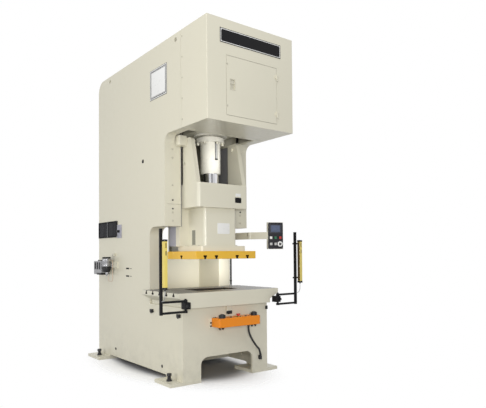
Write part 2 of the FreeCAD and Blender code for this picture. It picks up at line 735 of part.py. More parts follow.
def build_frame():
    frame = frame_envelope()
    frame = frame.cut(crown_hollows() + jaw_hollows() + column_hollows() + bed_hollows())
    frame = joined(frame, foot_plates() + frame_additions())
    frame = frame.cut(bearing_bores() + side_holes() + strip_recesses())
    placed("frame", frame.removeSplitter())


def strip_recesses():
    """Seats of the keeper strips in the jaw fronts."""
    seats = []
    for side in (-1, 1):
        seats.append(block(side * (JAW_INNER - 1), side * (FRAME_HALF - PLATE), JAW_FRONT - 1,
                           JAW_FRONT + STRIP_T, JAW_BOTTOM - 1, STRIP_TOP))
    return seats


# ---- head cover, door and plates -----------------------------------------------------------
def build_head_cover():
    """Folded sheet cover of the head, open to the rear, with its hinge leaves beside the door."""
    outer = block(-FRAME_HALF, FRAME_HALF, 0, COVER_DEPTH, HEAD_BOTTOM, FRAME_HEIGHT)
    outer = rounded(outer, COVER_RADIUS, (0, 0, 1), lambda p: near(p.y, 0))
    inside = block(-FRAME_HALF + SHEET, FRAME_HALF - SHEET, SHEET, COVER_DEPTH + 1,
                   HEAD_BOTTOM + SHEET, FRAME_HEIGHT - SHEET)
    door = block(-DOOR_HALF, DOOR_HALF, -1, SHEET + 1, DOOR_LOW, DOOR_HIGH)
    cover = outer.cut([inside, door])
    leaves = []
    for z in HINGE_ZS:
        for low in (z - HINGE_LENGTH / 2, z + MID_KNUCKLE_HALF + SEAT_GAP):
            leaves.append(hinge_leaf(1, low, low + 2 * MID_KNUCKLE_HALF - SEAT_GAP))
    placed("head_cover", joined(cover, leaves))


def hinge_x():
    """The door turns about the middle of the gap beside it."""
    return DOOR_HALF - DOOR_GAP / 2


def hinge_leaf(side, low, high):
    """One knuckle in front of the sheet, with the leaf that carries it."""
    x = hinge_x()
    y = -HINGE_R - SEAT_GAP
    knuckle = bar(HINGE_R, (x, y, low), (x, y, high))
    leaf = block(x, x + side * HINGE_LEAF, y, 0, low, high)
    gap = block(x - DOOR_GAP, x + DOOR_GAP, y, 1, low - 1, high + 1)
    gap = gap.cut(bar(HINGE_R, (x, y, low - 2), (x, y, high + 2)))
    return joined(knuckle, [leaf]).cut(gap)


def build_plates():
    """The bare front nameplate and the bare side plate."""
    low, high = NAMEPLATE_DROPS
    front = block(*NAMEPLATE_XS, -NAMEPLATE_T, 0, FRAME_HEIGHT - low, FRAME_HEIGHT - high)
    low, high = SIDE_BADGE_DROPS
    side = block(-FRAME_HALF - SIDE_BADGE_T, -FRAME_HALF, *SIDE_BADGE_YS,
                 FRAME_HEIGHT - low, FRAME_HEIGHT - high)
    placed("bare_plates", group([front, side]))


def build_door():
    """Front door with a recessed pull and its hinge leaves on the right."""
    half = DOOR_HALF - DOOR_GAP
    x0 = HANDLE_X - HANDLE_HALF
    x1 = HANDLE_X + HANDLE_HALF
    door = block(-half, half, 0, SHEET, DOOR_LOW + DOOR_GAP, DOOR_HIGH - DOOR_GAP)
    cup = block(x0, x1, 0, PULL_DEPTH, HANDLE_LOW, HANDLE_HIGH)
    hollow = block(x0 + PULL_WALL, x1 - PULL_WALL, -1, PULL_DEPTH - PULL_WALL,
                   HANDLE_LOW + PULL_WALL, HANDLE_HIGH - PULL_WALL)
    leaves = []
    for z in HINGE_ZS:
        leaves.append(hinge_leaf(-1, z - MID_KNUCKLE_HALF, z + MID_KNUCKLE_HALF))
    placed("front_door", joined(door, [cup] + leaves).cut(hollow))


def cover_screw_heights():
    """Heights of the cover screws, evenly spaced from the lowest to the highest."""
    low = HEAD_BOTTOM + COVER_SCREW_EDGES[0]
    high = FRAME_HEIGHT - COVER_SCREW_EDGES[1]
    return [low + (high - low) * index / (COVER_SCREWS - 1) for index in range(COVER_SCREWS)]


def build_frame_bolts():
    """Cover screws, keeper strip bolts and the bolts of the plunger guide."""
    bolts = []
    for side in (-1, 1):
        for z in cover_screw_heights():
            bolts.append(bar(COVER_SCREW_R, (side * FRAME_HALF, COVER_SCREW_Y, z),
                             (side * (FRAME_HALF + COVER_SCREW_HEAD), COVER_SCREW_Y, z)))
        for z in STRIP_BOLT_ZS:
            x = side * STRIP_BOLT_X
            bolts.append(bar(STRIP_BOLT_R, (x, JAW_FRONT - STRIP_BOLT_HEAD, z), (x, JAW_FRONT, z)))
    under = GUIDE_PLATE_LOW - GUIDE_FLANGE
    for index in range(GUIDE_BOLTS):
        angle = 2 * math.pi * (index + 0.5) / GUIDE_BOLTS
        x = GUIDE_BOLT_CIRCLE * math.cos(angle)
        y = CRANK_Y + GUIDE_BOLT_CIRCLE * math.sin(angle)
        bolts.append(bar(GUIDE_BOLT_R, (x, y, under - GUIDE_BOLT_HEAD), (x, y, under)))
    placed("frame_bolts", group(bolts))


def build_rear_cover():
    half = ACCESS_HALF + REAR_COVER_LAP
    cover = block(-half, half, FRAME_DEPTH, FRAME_DEPTH + REAR_COVER_T,
                  ACCESS_LOW - REAR_COVER_LAP, ACCESS_HIGH + REAR_COVER_LAP)
    placed("rear_cover", rounded(cover, REAR_COVER_LAP, (0, 1, 0)))


# ---- crank drive ---------------------------------------------------------------------------
def pin_z():
    """Height of the crank pin at the bottom of the stroke."""
    return CRANK_Z - CRANK_RADIUS


def wrist_z():
    return pin_z() - ROD_LENGTH


def build_bearings():
    """Flanged bronze bushes in the two bearing plates."""
    bushes = []
    for start in (HEAD_PLATE_Y, crank_web_y()):
        low = start - BEARING_LIP
        body = bar(BEARING_R, (0, start, CRANK_Z), (0, start + BEARING_PLATE, CRANK_Z))
        lip = bar(BEARING_R + BEARING_LIP * 2, (0, low, CRANK_Z), (0, start, CRANK_Z))
        bore = bar(JOURNAL_R + FIT, (0, low - 1, CRANK_Z), (0, start + BEARING_PLATE + 1, CRANK_Z))
        bushes.append(joined(body, [lip]).cut(bore))
    placed("crank_bearings", group(bushes))


def build_crankshaft():
    """Journals, two webs with their counterweights, and the crank pin at the bottom."""
    half = ROD_END_WIDTH / 2 + BEARING_LIP
    pieces = []
    for inner, outer, end in ((CRANK_Y - half, CRANK_Y - half - WEB, CRANK_FRONT),
                              (CRANK_Y + half, CRANK_Y + half + WEB, CRANK_REAR)):
        pieces.append(bar(WEB_R, (0, outer, CRANK_Z), (0, inner, CRANK_Z)))
        pieces.append(bar(WEB_PIN_R, (0, outer, pin_z()), (0, inner, pin_z())))
        pieces.append(bar(JOURNAL_R, (0, end, CRANK_Z), (0, inner, CRANK_Z)))
    pin = bar(CRANK_PIN_R, (0, CRANK_Y - half, pin_z()), (0, CRANK_Y + half, pin_z()))
    placed("crankshaft", joined(pin, pieces))


def build_connecting_rod():
    """I-section rod with a split big end, its cap, and the wrist pin in the lower eye."""
    y0 = CRANK_Y - ROD_END_WIDTH / 2
    y1 = CRANK_Y + ROD_END_WIDTH / 2
    big = bar(ROD_BIG_R, (0, y0, pin_z()), (0, y1, pin_z()))
    reach = ROD_BIG_R + ROD_EAR
    ears = block(-reach, reach, y0 + ROD_EAR_INSET, y1 - ROD_EAR_INSET,
                 pin_z() - ROD_EAR_HALF, pin_z() + ROD_EAR_HALF)
    big = joined(big, [ears])
    bore = bar(CRANK_PIN_R + FIT, (0, y0 - 1, pin_z()), (0, y1 + 1, pin_z()))
    big = big.cut(bore)
    split = block(-reach - 1, reach + 1, y0 - 1, y1 + 1, pin_z(), pin_z() + reach)
    cap = big.common(split)
    lower = big.cut(split)
    eye_y0 = CRANK_Y - ROD_EYE_WIDTH / 2
    eye_y1 = CRANK_Y + ROD_EYE_WIDTH / 2
    eye = bar(ROD_EYE_R, (0, eye_y0, wrist_z()), (0, eye_y1, wrist_z()))
    eye_half = ROD_EYE_R * ROD_TAPER[0]
    big_half = ROD_BIG_R * ROD_TAPER[1]
    shank = front_prism([(-eye_half, wrist_z()), (eye_half, wrist_z()),
                         (big_half, pin_z()), (-big_half, pin_z())],
                        CRANK_Y - ROD_SHANK / 2, CRANK_Y + ROD_SHANK / 2)
    low = wrist_z() + ROD_EYE_R + ROD_POCKET_EDGE
    high = pin_z() - ROD_BIG_R - ROD_POCKET_EDGE
    narrow, wide = ROD_POCKET
    pockets = []
    for side in (-1, 1):
        pockets.append(front_prism([(-narrow, low), (narrow, low), (wide, high), (-wide, high)],
                                   CRANK_Y + side * ROD_WEB / 2, CRANK_Y + side * ROD_SHANK))
    shank = shank.cut(pockets + [bore])
    wrist = bar(WRIST_R, (0, eye_y0 - 1, wrist_z()), (0, eye_y1 + 1, wrist_z()))
    placed("connecting_rod", joined(lower, [shank.cut(split), eye]).cut(wrist))
    placed("rod_cap", cap)
    placed("wrist_pin", bar(WRIST_R, (0, eye_y0, wrist_z()), (0, eye_y1, wrist_z())))


def build_plunger():
    """Chromed plunger with a clevis head above the guide plate."""
    floor = wrist_z() - CLEVIS_DROP
    gap = ROD_EYE_WIDTH / 2 + CLEVIS_GAP
    shaft = bar(PLUNGER_R, (0, CRANK_Y, PLUNGER_BOTTOM), (0, CRANK_Y, floor))
    reach = gap + CLEVIS_EAR
    base = block(-CLEVIS_HALF, CLEVIS_HALF, CRANK_Y - reach, CRANK_Y + reach,
                 floor - CLEVIS_FLOOR, floor)
    pieces = [base]
    for side in (-1, 1):
        ear = bar(CLEVIS_R, (0, CRANK_Y + side * gap, wrist_z()),
                  (0, CRANK_Y + side * reach, wrist_z()))
        cheek = block(-CLEVIS_R, CLEVIS_R, CRANK_Y + side * gap, CRANK_Y + side * reach,
                      floor, wrist_z())
        pieces += [ear, cheek]
    placed("plunger", joined(shaft, pieces))


def build_plunger_guide():
    """Guide tube with a bolted flange under the guide plate, and its sight gauge."""
    top = GUIDE_PLATE_LOW + GUIDE_PLATE
    tube = bar(GUIDE_R, (0, CRANK_Y, GUIDE_BOTTOM), (0, CRANK_Y, top))
    flange = bar(GUIDE_FLANGE_R, (0, CRANK_Y, GUIDE_PLATE_LOW - GUIDE_FLANGE),
                 (0, CRANK_Y, GUIDE_PLATE_LOW))
    bore = bar(PLUNGER_R + FIT, (0, CRANK_Y, GUIDE_BOTTOM - 1), (0, CRANK_Y, top + 1))
    guide = joined(tube, [flange]).cut(bore)
    low, high = [GUIDE_BOTTOM + share * (GUIDE_PLATE_LOW - GUIDE_BOTTOM) for share in GAUGE_SHARES]
    reach = GUIDE_R + GAUGE_T
    gauge = block(-GAUGE_WIDTH / 2, GAUGE_WIDTH / 2, -reach, -GUIDE_R + GAUGE_SINK, low, high)
    gauge = gauge.cut(bar(GUIDE_R, (0, 0, low - 1), (0, 0, high + 1)))
    gauge.rotate(Vector(0, 0, 0), Vector(0, 0, 1), GAUGE_TURN)
    gauge.translate(Vector(0, CRANK_Y, 0))
    placed("plunger_guide", guide)
    placed("sight_gauge", gauge)


def build_drive():
    """Closed gear housing, drive shaft with flywheel, motor, pulley and belts."""
    front = crank_web_y() + BEARING_PLATE
    housing = bar(HOUSING_R, (0, front, CRANK_Z), (0, HOUSING_REAR, CRANK_Z))
    neck = block(-HOUSING_LOW_R, HOUSING_LOW_R, front, HOUSING_REAR, DRIVE_Z, CRANK_Z)
    foot = bar(HOUSING_LOW_R, (0, front, DRIVE_Z), (0, HOUSING_REAR, DRIVE_Z))
    crank_bore = bar(JOURNAL_R + FIT, (0, front - 1, CRANK_Z), (0, CRANK_REAR + 1, CRANK_Z))
    shaft_start = HOUSING_REAR - HOUSING_BORE
    shaft_bore = bar(DRIVE_R + FIT, (0, shaft_start - 1, DRIVE_Z), (0, HOUSING_REAR + 1, DRIVE_Z))
    placed("gear_housing", joined(housing, [neck, foot]).cut([crank_bore, shaft_bore]))
    y0, y1 = FLYWHEEL
    placed("drive_shaft", bar(DRIVE_R, (0, shaft_start, DRIVE_Z), (0, y1 + DRIVE_END, DRIVE_Z)))
    wheel = bar(FLYWHEEL_R, (0, y0, DRIVE_Z), (0, y1, DRIVE_Z))
    middle = (y0 + y1) / 2
    for side in (-1, 1):
        recess = ring(FLYWHEEL_R - FLYWHEEL_RIM, FLYWHEEL_HUB_R,
                      (0, middle + side * FLYWHEEL_WEB / 2, DRIVE_Z),
                      (0, middle + side * (y1 - y0), DRIVE_Z))
        wheel = wheel.cut(recess)
    cuts = [bar(DRIVE_R, (0, y0 - 1, DRIVE_Z), (0, y1 + 1, DRIVE_Z))]
    radius = (FLYWHEEL_R - FLYWHEEL_RIM + FLYWHEEL_HUB_R) / 2
    for index in range(FLYWHEEL_HOLES):
        angle = 2 * math.pi * index / FLYWHEEL_HOLES
        x = radius * math.cos(angle)
        z = DRIVE_Z + radius * math.sin(angle)
        cuts.append(bar(FLYWHEEL_HOLE_R, (x, y0 - 1, z), (x, y1 + 1, z)))
    placed("flywheel", wheel.cut(cuts + belt_grooves(FLYWHEEL_R, DRIVE_Z)))
    placed("motor", build_motor())
    pulley = bar(PULLEY_R, (0, y0, MOTOR_Z), (0, y1, MOTOR_Z))
    pulley = pulley.cut(belt_grooves(PULLEY_R, MOTOR_Z))
    shaft = bar(PULLEY_SHAFT_R, (0, MOTOR[1] - PULLEY_SHAFT_IN, MOTOR_Z),
                (0, y1 + PULLEY_SHAFT_OUT, MOTOR_Z))
    placed("motor_pulley", joined(pulley, [shaft]))
    placed("drive_belts", build_belts())


def belt_ys():
    middle = (FLYWHEEL[0] + FLYWHEEL[1]) / 2
    return [middle + (index - (BELTS - 1) / 2) * BELT_PITCH for index in range(BELTS)]


def belt_grooves(radius, z):
    """Square-bottomed belt grooves round a wheel."""
    grooves = []
    half = BELT_WIDTH / 2 + SEAT_GAP
    for y in belt_ys():
        grooves.append(ring(radius + 1, radius - BELT_T, (0, y - half, z), (0, y + half, z)))
    return grooves


def build_motor():
    """Foot-mounted motor with a smooth drum and end bells."""
    y0, y1 = MOTOR
    drum = bar(MOTOR_R, (0, y0, MOTOR_Z), (0, y1, MOTOR_Z))
    drum = drum.makeChamfer(MOTOR_CHAMFER, [e for e in drum.Edges if isinstance(e.Curve, Part.Circle)])
    shelf = shelf_height() + MOTOR_SHELF_T
    end, thick = MOTOR_FOOT
    foot = block(-MOTOR_R, MOTOR_R, y0 + end, y1 - end, shelf, shelf + thick)
    neck = block(-MOTOR_NECK_HALF, MOTOR_NECK_HALF, y0 + MOTOR_NECK, y1 - MOTOR_NECK, shelf, MOTOR_Z)
    below, above = TERMINAL_ZS
    terminal = block(MOTOR_R / 2, MOTOR_R + TERMINAL_OUT, y0 + TERMINAL[0], y0 + TERMINAL[1],
                     MOTOR_Z - below, MOTOR_Z + above)
    bore = bar(PULLEY_SHAFT_R + FIT, (0, y1 - end - 1, MOTOR_Z), (0, y1 + 1, MOTOR_Z))
    return joined(drum, [foot, neck, terminal]).cut(bore)


def build_belts():
    """Endless belts round the flywheel and the motor pulley."""
    distance = DRIVE_Z - MOTOR_Z
    upper = FLYWHEEL_R - BELT_T + SEAT_GAP
    lower = PULLEY_R - BELT_T + SEAT_GAP
    loops = []
    for y in belt_ys():
        outer = belt_blank(upper + BELT_T, lower + BELT_T, distance, y)
        inner = belt_blank(upper, lower, distance, y)
        loops.append(outer.cut(inner))
    return group(loops)


def belt_blank(upper, lower, distance, y):
    """Solid between the two wrap circles and their common tangents."""
    lean = math.asin((upper - lower) / distance)
    y0 = y - BELT_WIDTH / 2
    y1 = y + BELT_WIDTH / 2
    cosine = math.cos(lean)
    sine = math.sin(lean)
    corners = [
        (upper * cosine, DRIVE_Z - upper * sine), (lower * cosine, MOTOR_Z - lower * sine),
        (-lower * cosine, MOTOR_Z - lower * sine), (-upper * cosine, DRIVE_Z - upper * sine),
    ]
    sides = front_prism(corners, y0, y1)
    top = bar(upper, (0, y0, DRIVE_Z), (0, y1, DRIVE_Z))
    bottom = bar(lower, (0, y0, MOTOR_Z), (0, y1, MOTOR_Z))
    return joined(sides, [top, bottom])


# ---- slide ---------------------------------------------------------------------------------
def build_slide():
    """Cast slide: wide upper box with a pocket, two ears, a narrow neck and a foot flange."""
    upright = (0, 0, 1)
    box = block(-SLIDE_HALF, SLIDE_HALF, SLIDE_FRONT, SLIDE_BACK, SLIDE_STEP, SLIDE_TOP)
    box = rounded(box, SLIDE_RADIUS, upright, lambda p: near(p.y, SLIDE_FRONT))
    neck = block(-NECK_HALF, NECK_HALF, NECK_FRONT, NECK_BACK + 1, PLATE_TOP, SLIDE_STEP)
    neck = rounded(neck, NECK_RADIUS, upright, lambda p: near(p.y, NECK_FRONT))
    rear = block(-SLIDE_HALF, SLIDE_HALF, NECK_BACK, SLIDE_BACK, FLANGE_TOP - 1, SLIDE_STEP)
    flange = block(-FLANGE_HALF, FLANGE_HALF, SLIDE_FRONT, SLIDE_PLATE[1] - FLANGE_BACK_INSET,
                   PLATE_TOP, FLANGE_TOP)
    flange = rounded(flange, FLANGE_RADIUS, upright)
    body = joined(box, [neck, rear, flange] + slide_ears())
    cuts = [block(-POCKET_HALF, POCKET_HALF, POCKET[0], POCKET[1], POCKET_FLOOR, SLIDE_TOP + 1)]
    cuts.append(bar(PLUNGER_R + FIT, (0, CRANK_Y, SLIDE_BORE_FLOOR), (0, CRANK_Y, SLIDE_TOP)))
    y0, y1, z0, z1 = NECK_SLOT
    cuts.append(block(-NECK_HALF - 1, -NECK_HALF + NECK_SLOT_DEPTH, y0, y1, z0, z1))
    for side in (-1, 1):
        cuts.append(block(side * (SLIDE_HALF - RAIL_WIDTH), side * (SLIDE_HALF + 1), RAIL_FRONT,
                          SLIDE_BACK + 1, FLANGE_TOP - 2, SLIDE_TOP + 1))
        cuts.append(bar(CB_ROD_R, (side * ROD_X, CRANK_Y, LUG_LOW + LUG_SEAT),
                        (side * ROD_X, CRANK_Y, LUG_HIGH + 1)))
    placed("slide", body.cut(cuts).removeSplitter())
    rails = []
    for side in (-1, 1):
        rails.append(block(side * (SLIDE_HALF - RAIL_WIDTH), side * SLIDE_HALF, RAIL_FRONT,
                           SLIDE_BACK, RAIL_BOTTOM, SLIDE_TOP))
    placed("guide_rails", group(rails))


def slide_ears():
    """Two slanted ears with the lugs that carry the counterbalance rods."""
    pieces = []
    for side in (-1, 1):
        root_y = SLIDE_FRONT + SLIDE_RADIUS
        outline = [(root_y, SLIDE_TOP - WELD_IN), (root_y, SLIDE_TOP), (EAR_TIP, EAR_TOP),
                   (EAR_BACK, EAR_TOP), (EAR_BACK, SLIDE_TOP - WELD_IN)]
        ear = side_prism(outline, side * EAR_INNER, side * SLIDE_HALF)
        ear = rounded(ear, EAR_RADIUS, (1, 0, 0), lambda p: near(p.z, EAR_TOP) and near(p.y, EAR_TIP))
        if side < 0:
            y, z = EAR_HOLE
            ear = ear.cut(bar(EAR_HOLE_R, (side * (EAR_INNER - 1), y, z),
                              (side * (SLIDE_HALF + 1), y, z)))
        lug = block(side * (SLIDE_HALF - 1), side * LUG_OUT, LUG[0], LUG[1], LUG_LOW, LUG_HIGH)
        lug = rounded(lug, LUG_RADIUS, (0, 0, 1), lambda p: abs(p.x) > LUG_OUT - 1)
        pieces += [ear, lug]
    y, z = BOSS_YZ
    pieces.append(bar(BOSS_R, (EAR_INNER - BOSS_LENGTH, y, z), (EAR_INNER + 1, y, z)))
    return pieces


def build_slide_plate():
    """Ram plate with inverted T-slots from front to back and one across."""
    y0, y1 = SLIDE_PLATE
    plate = block(-SLIDE_PLATE_HALF, SLIDE_PLATE_HALF, y0, y1, SLIDE_PLATE_LOW, PLATE_TOP)
    cuts = []
    for x in SLIDE_PLATE_SLOTS:
        outline = t_slot(x, SLIDE_PLATE_LOW, 1)
        cuts.append(front_prism(outline, y0 - 1, y1 + 1))
    cross = t_slot((y0 + y1) / 2, SLIDE_PLATE_LOW, 1)
    cuts.append(side_prism(cross, -SLIDE_PLATE_HALF - 1, SLIDE_PLATE_HALF + 1))
    placed("slide_plate", plate.cut(cuts))


def t_slot(middle, face, inward):
    """Outline of a T-slot cut into a face, inward = +1 upwards or -1 downwards."""
    neck = SLOT_NECK / 2
    foot = SLOT_FOOT / 2
    shelf = face + inward * SLOT_NECK_DEPTH
    floor = face + inward * (SLOT_NECK_DEPTH + SLOT_FOOT_DEPTH)
    mouth = face - inward
    return [(middle - neck, mouth), (middle + neck, mouth), (middle + neck, shelf),
            (middle + foot, shelf), (middle + foot, floor), (middle - foot, floor),
            (middle - foot, shelf), (middle - neck, shelf)]


def build_slide_fittings():
    """Adjusting nut round the plunger."""
    nut = ring(NUT_R, PLUNGER_R + FIT, (0, CRANK_Y, POCKET_FLOOR),
               (0, CRANK_Y, POCKET_FLOOR + NUT_HEIGHT))
    notches = []
    for index in range(NUT_NOTCHES):
        angle = 2 * math.pi * index / NUT_NOTCHES
        x = NUT_R * math.cos(angle)
        y = CRANK_Y + NUT_R * math.sin(angle)
        notches.append(bar(NUT_NOTCH_R, (x, y, POCKET_FLOOR - 1), (x, y, POCKET_FLOOR + NUT_HEIGHT + 1)))
    placed("adjusting_nut", nut.cut(notches))


def build_counterbalance():
    """Two air cylinders in the head, with their rods standing in the lugs of the slide."""
    rods = []
    cylinders = []
    for side in (-1, 1):
        x = side * ROD_X
        rod = bar(CB_ROD_R, (x, CRANK_Y, LUG_LOW + LUG_SEAT), (x, CRANK_Y, PISTON_LOW + 1))
        piston = bar(CYLINDER_BORE - SEAT_GAP, (x, CRANK_Y, PISTON_LOW),
                     (x, CRANK_Y, PISTON_LOW + PISTON_T))
        rods.append(joined(rod, [piston]))
        outer = bar(CYLINDER_R, (x, CRANK_Y, CYLINDER_LOW), (x, CRANK_Y, CYLINDER_HIGH))
        feet = []
        for z in (CYLINDER_LOW, CYLINDER_HIGH - CYLINDER_FOOT):
            feet.append(block(x + side * CYLINDER_BORE, side * (FRAME_HALF - PLATE),
                              CRANK_Y - CYLINDER_FOOT / 2, CRANK_Y + CYLINDER_FOOT / 2,
                              z, z + CYLINDER_FOOT))
        room = bar(CYLINDER_BORE, (x, CRANK_Y, CYLINDER_LOW + CYLINDER_CAP),
                   (x, CRANK_Y, CYLINDER_HIGH - CYLINDER_CAP))
        bore = bar(CB_ROD_R + FIT, (x, CRANK_Y, CYLINDER_LOW - 1),
                   (x, CRANK_Y, CYLINDER_LOW + CYLINDER_CAP + 1))
        cylinders.append(joined(outer, feet).cut([room, bore]))
    placed("counterbalance_rods", group(rods))
    placed("counterbalance_cylinders", group(cylinders))


def build_gibs():
    """Bronze gibs between slide and jaws, and the keeper strips in front of the jaws."""
    gibs = []
    strips = []
    for side in (-1, 1):
        gibs.append(block(side * (SLIDE_HALF + SEAT_GAP), side * JAW_INNER, GIB_FRONT,
                          SLIDE_BACK, JAW_BOTTOM, GIB_TOP))
        for z0, z1 in ((JAW_BOTTOM, STRIP_SEAM - 1), (STRIP_SEAM + 1, STRIP_TOP)):
            strips.append(block(side * JAW_INNER, side * (FRAME_HALF - PLATE), JAW_FRONT,
                                JAW_FRONT + STRIP_T, z0, z1))
    placed("gibs", group(gibs))
    placed("keeper_strips", group(strips))


# ---- bolster -------------------------------------------------------------------------------
def build_bolster():
    """Bolster with slanted wings, T-slots across and a die hole through the middle."""
    outline = [(-BOLSTER_FOOT_HALF, BED_TOP), (BOLSTER_FOOT_HALF, BED_TOP),
               (BOLSTER_FOOT_HALF, WING_ROOT), (BOLSTER_HALF, WING_LOW), (BOLSTER_HALF, BOLSTER_TOP),
               (-BOLSTER_HALF, BOLSTER_TOP), (-BOLSTER_HALF, WING_LOW), (-BOLSTER_FOOT_HALF, WING_ROOT)]
    body = front_prism(outline, BOLSTER[0], BOLSTER[1])
    cuts = []
    for index in range(SLOTS):
        y = BOLSTER[0] + first_slot_offset() + index * SLOT_PITCH
        cuts.append(side_prism(t_slot(y, BOLSTER_TOP, -1), -BOLSTER_HALF - 1, BOLSTER_HALF + 1))
    y0, y1 = die_hole_y()
    die = block(-DIE_HOLE_HALF, DIE_HOLE_HALF, y0, y1, BED_TOP - 1, BOLSTER_TOP + 1)
    cuts.append(rounded(die, DIE_HOLE_RADIUS, (0, 0, 1)))
    placed("bolster", body.cut(cuts))


def build_level_bolts():
    bolts = []
    for side in (-1, 1):
        for y in LEVEL_BOLT_YS:
            x = side * LEVEL_BOLT_X
            shank = bar(LEVEL_BOLT_R, (x, y, 0), (x, y, FOOT_PLATE + LEVEL_BOLT_H))
            nut = bar(LEVEL_HEAD_R, (x, y, FOOT_PLATE), (x, y, FOOT_PLATE + LEVEL_HEAD_H))
            head = hexagon(x, y, LEVEL_HEAD_R, FOOT_PLATE + LEVEL_BOLT_H - LEVEL_HEAD_H, LEVEL_HEAD_H)
            bolts.append(joined(shank, [nut, head]))
    placed("levelling_bolts", group(bolts))


def hexagon(x, y, radius, z, height):
    points = []
    for index in range(6):
        angle = math.pi * index / 3
        points.append((x + radius * math.cos(angle), y + radius * math.sin(angle)))
    return plan_prism(points, z, z + height)


# ---- light guards --------------------------------------------------------------------------
def build_guards():
    """Swinging posts on two arms each, their clamps on the bolster front, and the light bars."""
    clamps = []
    for name, side in (("left", -1), ("right", 1)):
        x = side * PIVOT_X
        pivot = bar(PIVOT_R, (x, POST_Y, PIVOT_LOW), (x, POST_Y, PIVOT_HIGH))
        grip = block(x - CLAMP_HALF, x + CLAMP_HALF, POST_Y - CLAMP_HALF, BOLSTER[0],
                     CLAMP_LOW, CLAMP_HIGH)
        grip = rounded(grip, PIVOT_R / 2, (0, 0, 1), lambda p: near(p.y, POST_Y - CLAMP_HALF))
        back = block(side * (BOLSTER_FOOT_HALF + CLAMP_BACK_EDGE), x + side * CLAMP_HALF,
                     BOLSTER[0] - PIVOT_R, BOLSTER[0], CLAMP_LOW, CLAMP_BACK_HIGH)
        knobs = []
        for z in (CLAMP_LOW + CLAMP_KNOB_INSET, CLAMP_HIGH - CLAMP_KNOB_INSET):
            knobs.append(bar(CLAMP_KNOB_R, (x + side * CLAMP_HALF, POST_Y, z),
                             (x + side * (CLAMP_HALF + CLAMP_KNOB_LENGTH), POST_Y, z)))
        clamps.append(joined(pivot, [grip, back] + knobs))
        post_x = side * POST_X
        post = block(post_x - POST_HALF, post_x + POST_HALF, POST_Y - POST_HALF, POST_Y + POST_HALF,
                     POST_LOW, POST_HIGH)
        arms = []
        bores = []
        for z in ARM_ZS:
            arms.append(block(x, post_x, POST_Y - ARM_HALF, POST_Y + ARM_HALF,
                              z - ARM_HALF, z + ARM_HALF))
            arms.append(bar(ARM_EYE_R, (x, POST_Y, z - ARM_HALF), (x, POST_Y, z + ARM_HALF)))
            bores.append(bar(PIVOT_R + FIT, (x, POST_Y, z - ARM_HALF - 1),
                             (x, POST_Y, z + ARM_HALF + 1)))
        for z in BRACKET_ZS:
            arms.append(block(post_x - BRACKET_T, post_x + BRACKET_T, LIGHT_BAR_Y + LIGHT_BAR_HALF,
                              POST_Y - POST_HALF + 1, z - BRACKET_T, z + BRACKET_T))
        placed(name + "_guard_post", joined(post, arms).cut(bores))
        light = block(post_x - LIGHT_BAR_HALF, post_x + LIGHT_BAR_HALF, LIGHT_BAR_Y - LIGHT_BAR_HALF,
                      LIGHT_BAR_Y + LIGHT_BAR_HALF, LIGHT_BAR_LOW, LIGHT_BAR_HIGH)
        light = rounded(light, LIGHT_BAR_RADIUS, (0, 0, 1))
        lens_side = post_x - side * LIGHT_BAR_HALF
        lens = block(lens_side - side * LENS_DEEP, lens_side - side, LIGHT_BAR_Y - LENS_HALF,
                     LIGHT_BAR_Y + LENS_HALF, LIGHT_BAR_LOW + LIGHT_BAR_CAP,
                     LIGHT_BAR_HIGH - LIGHT_BAR_CAP)
        lens.translate(Vector(side * LENS_DEEP, 0, 0))
        placed(name + "_light_bar", light.cut(lens))
    placed("guard_clamps", group(clamps))


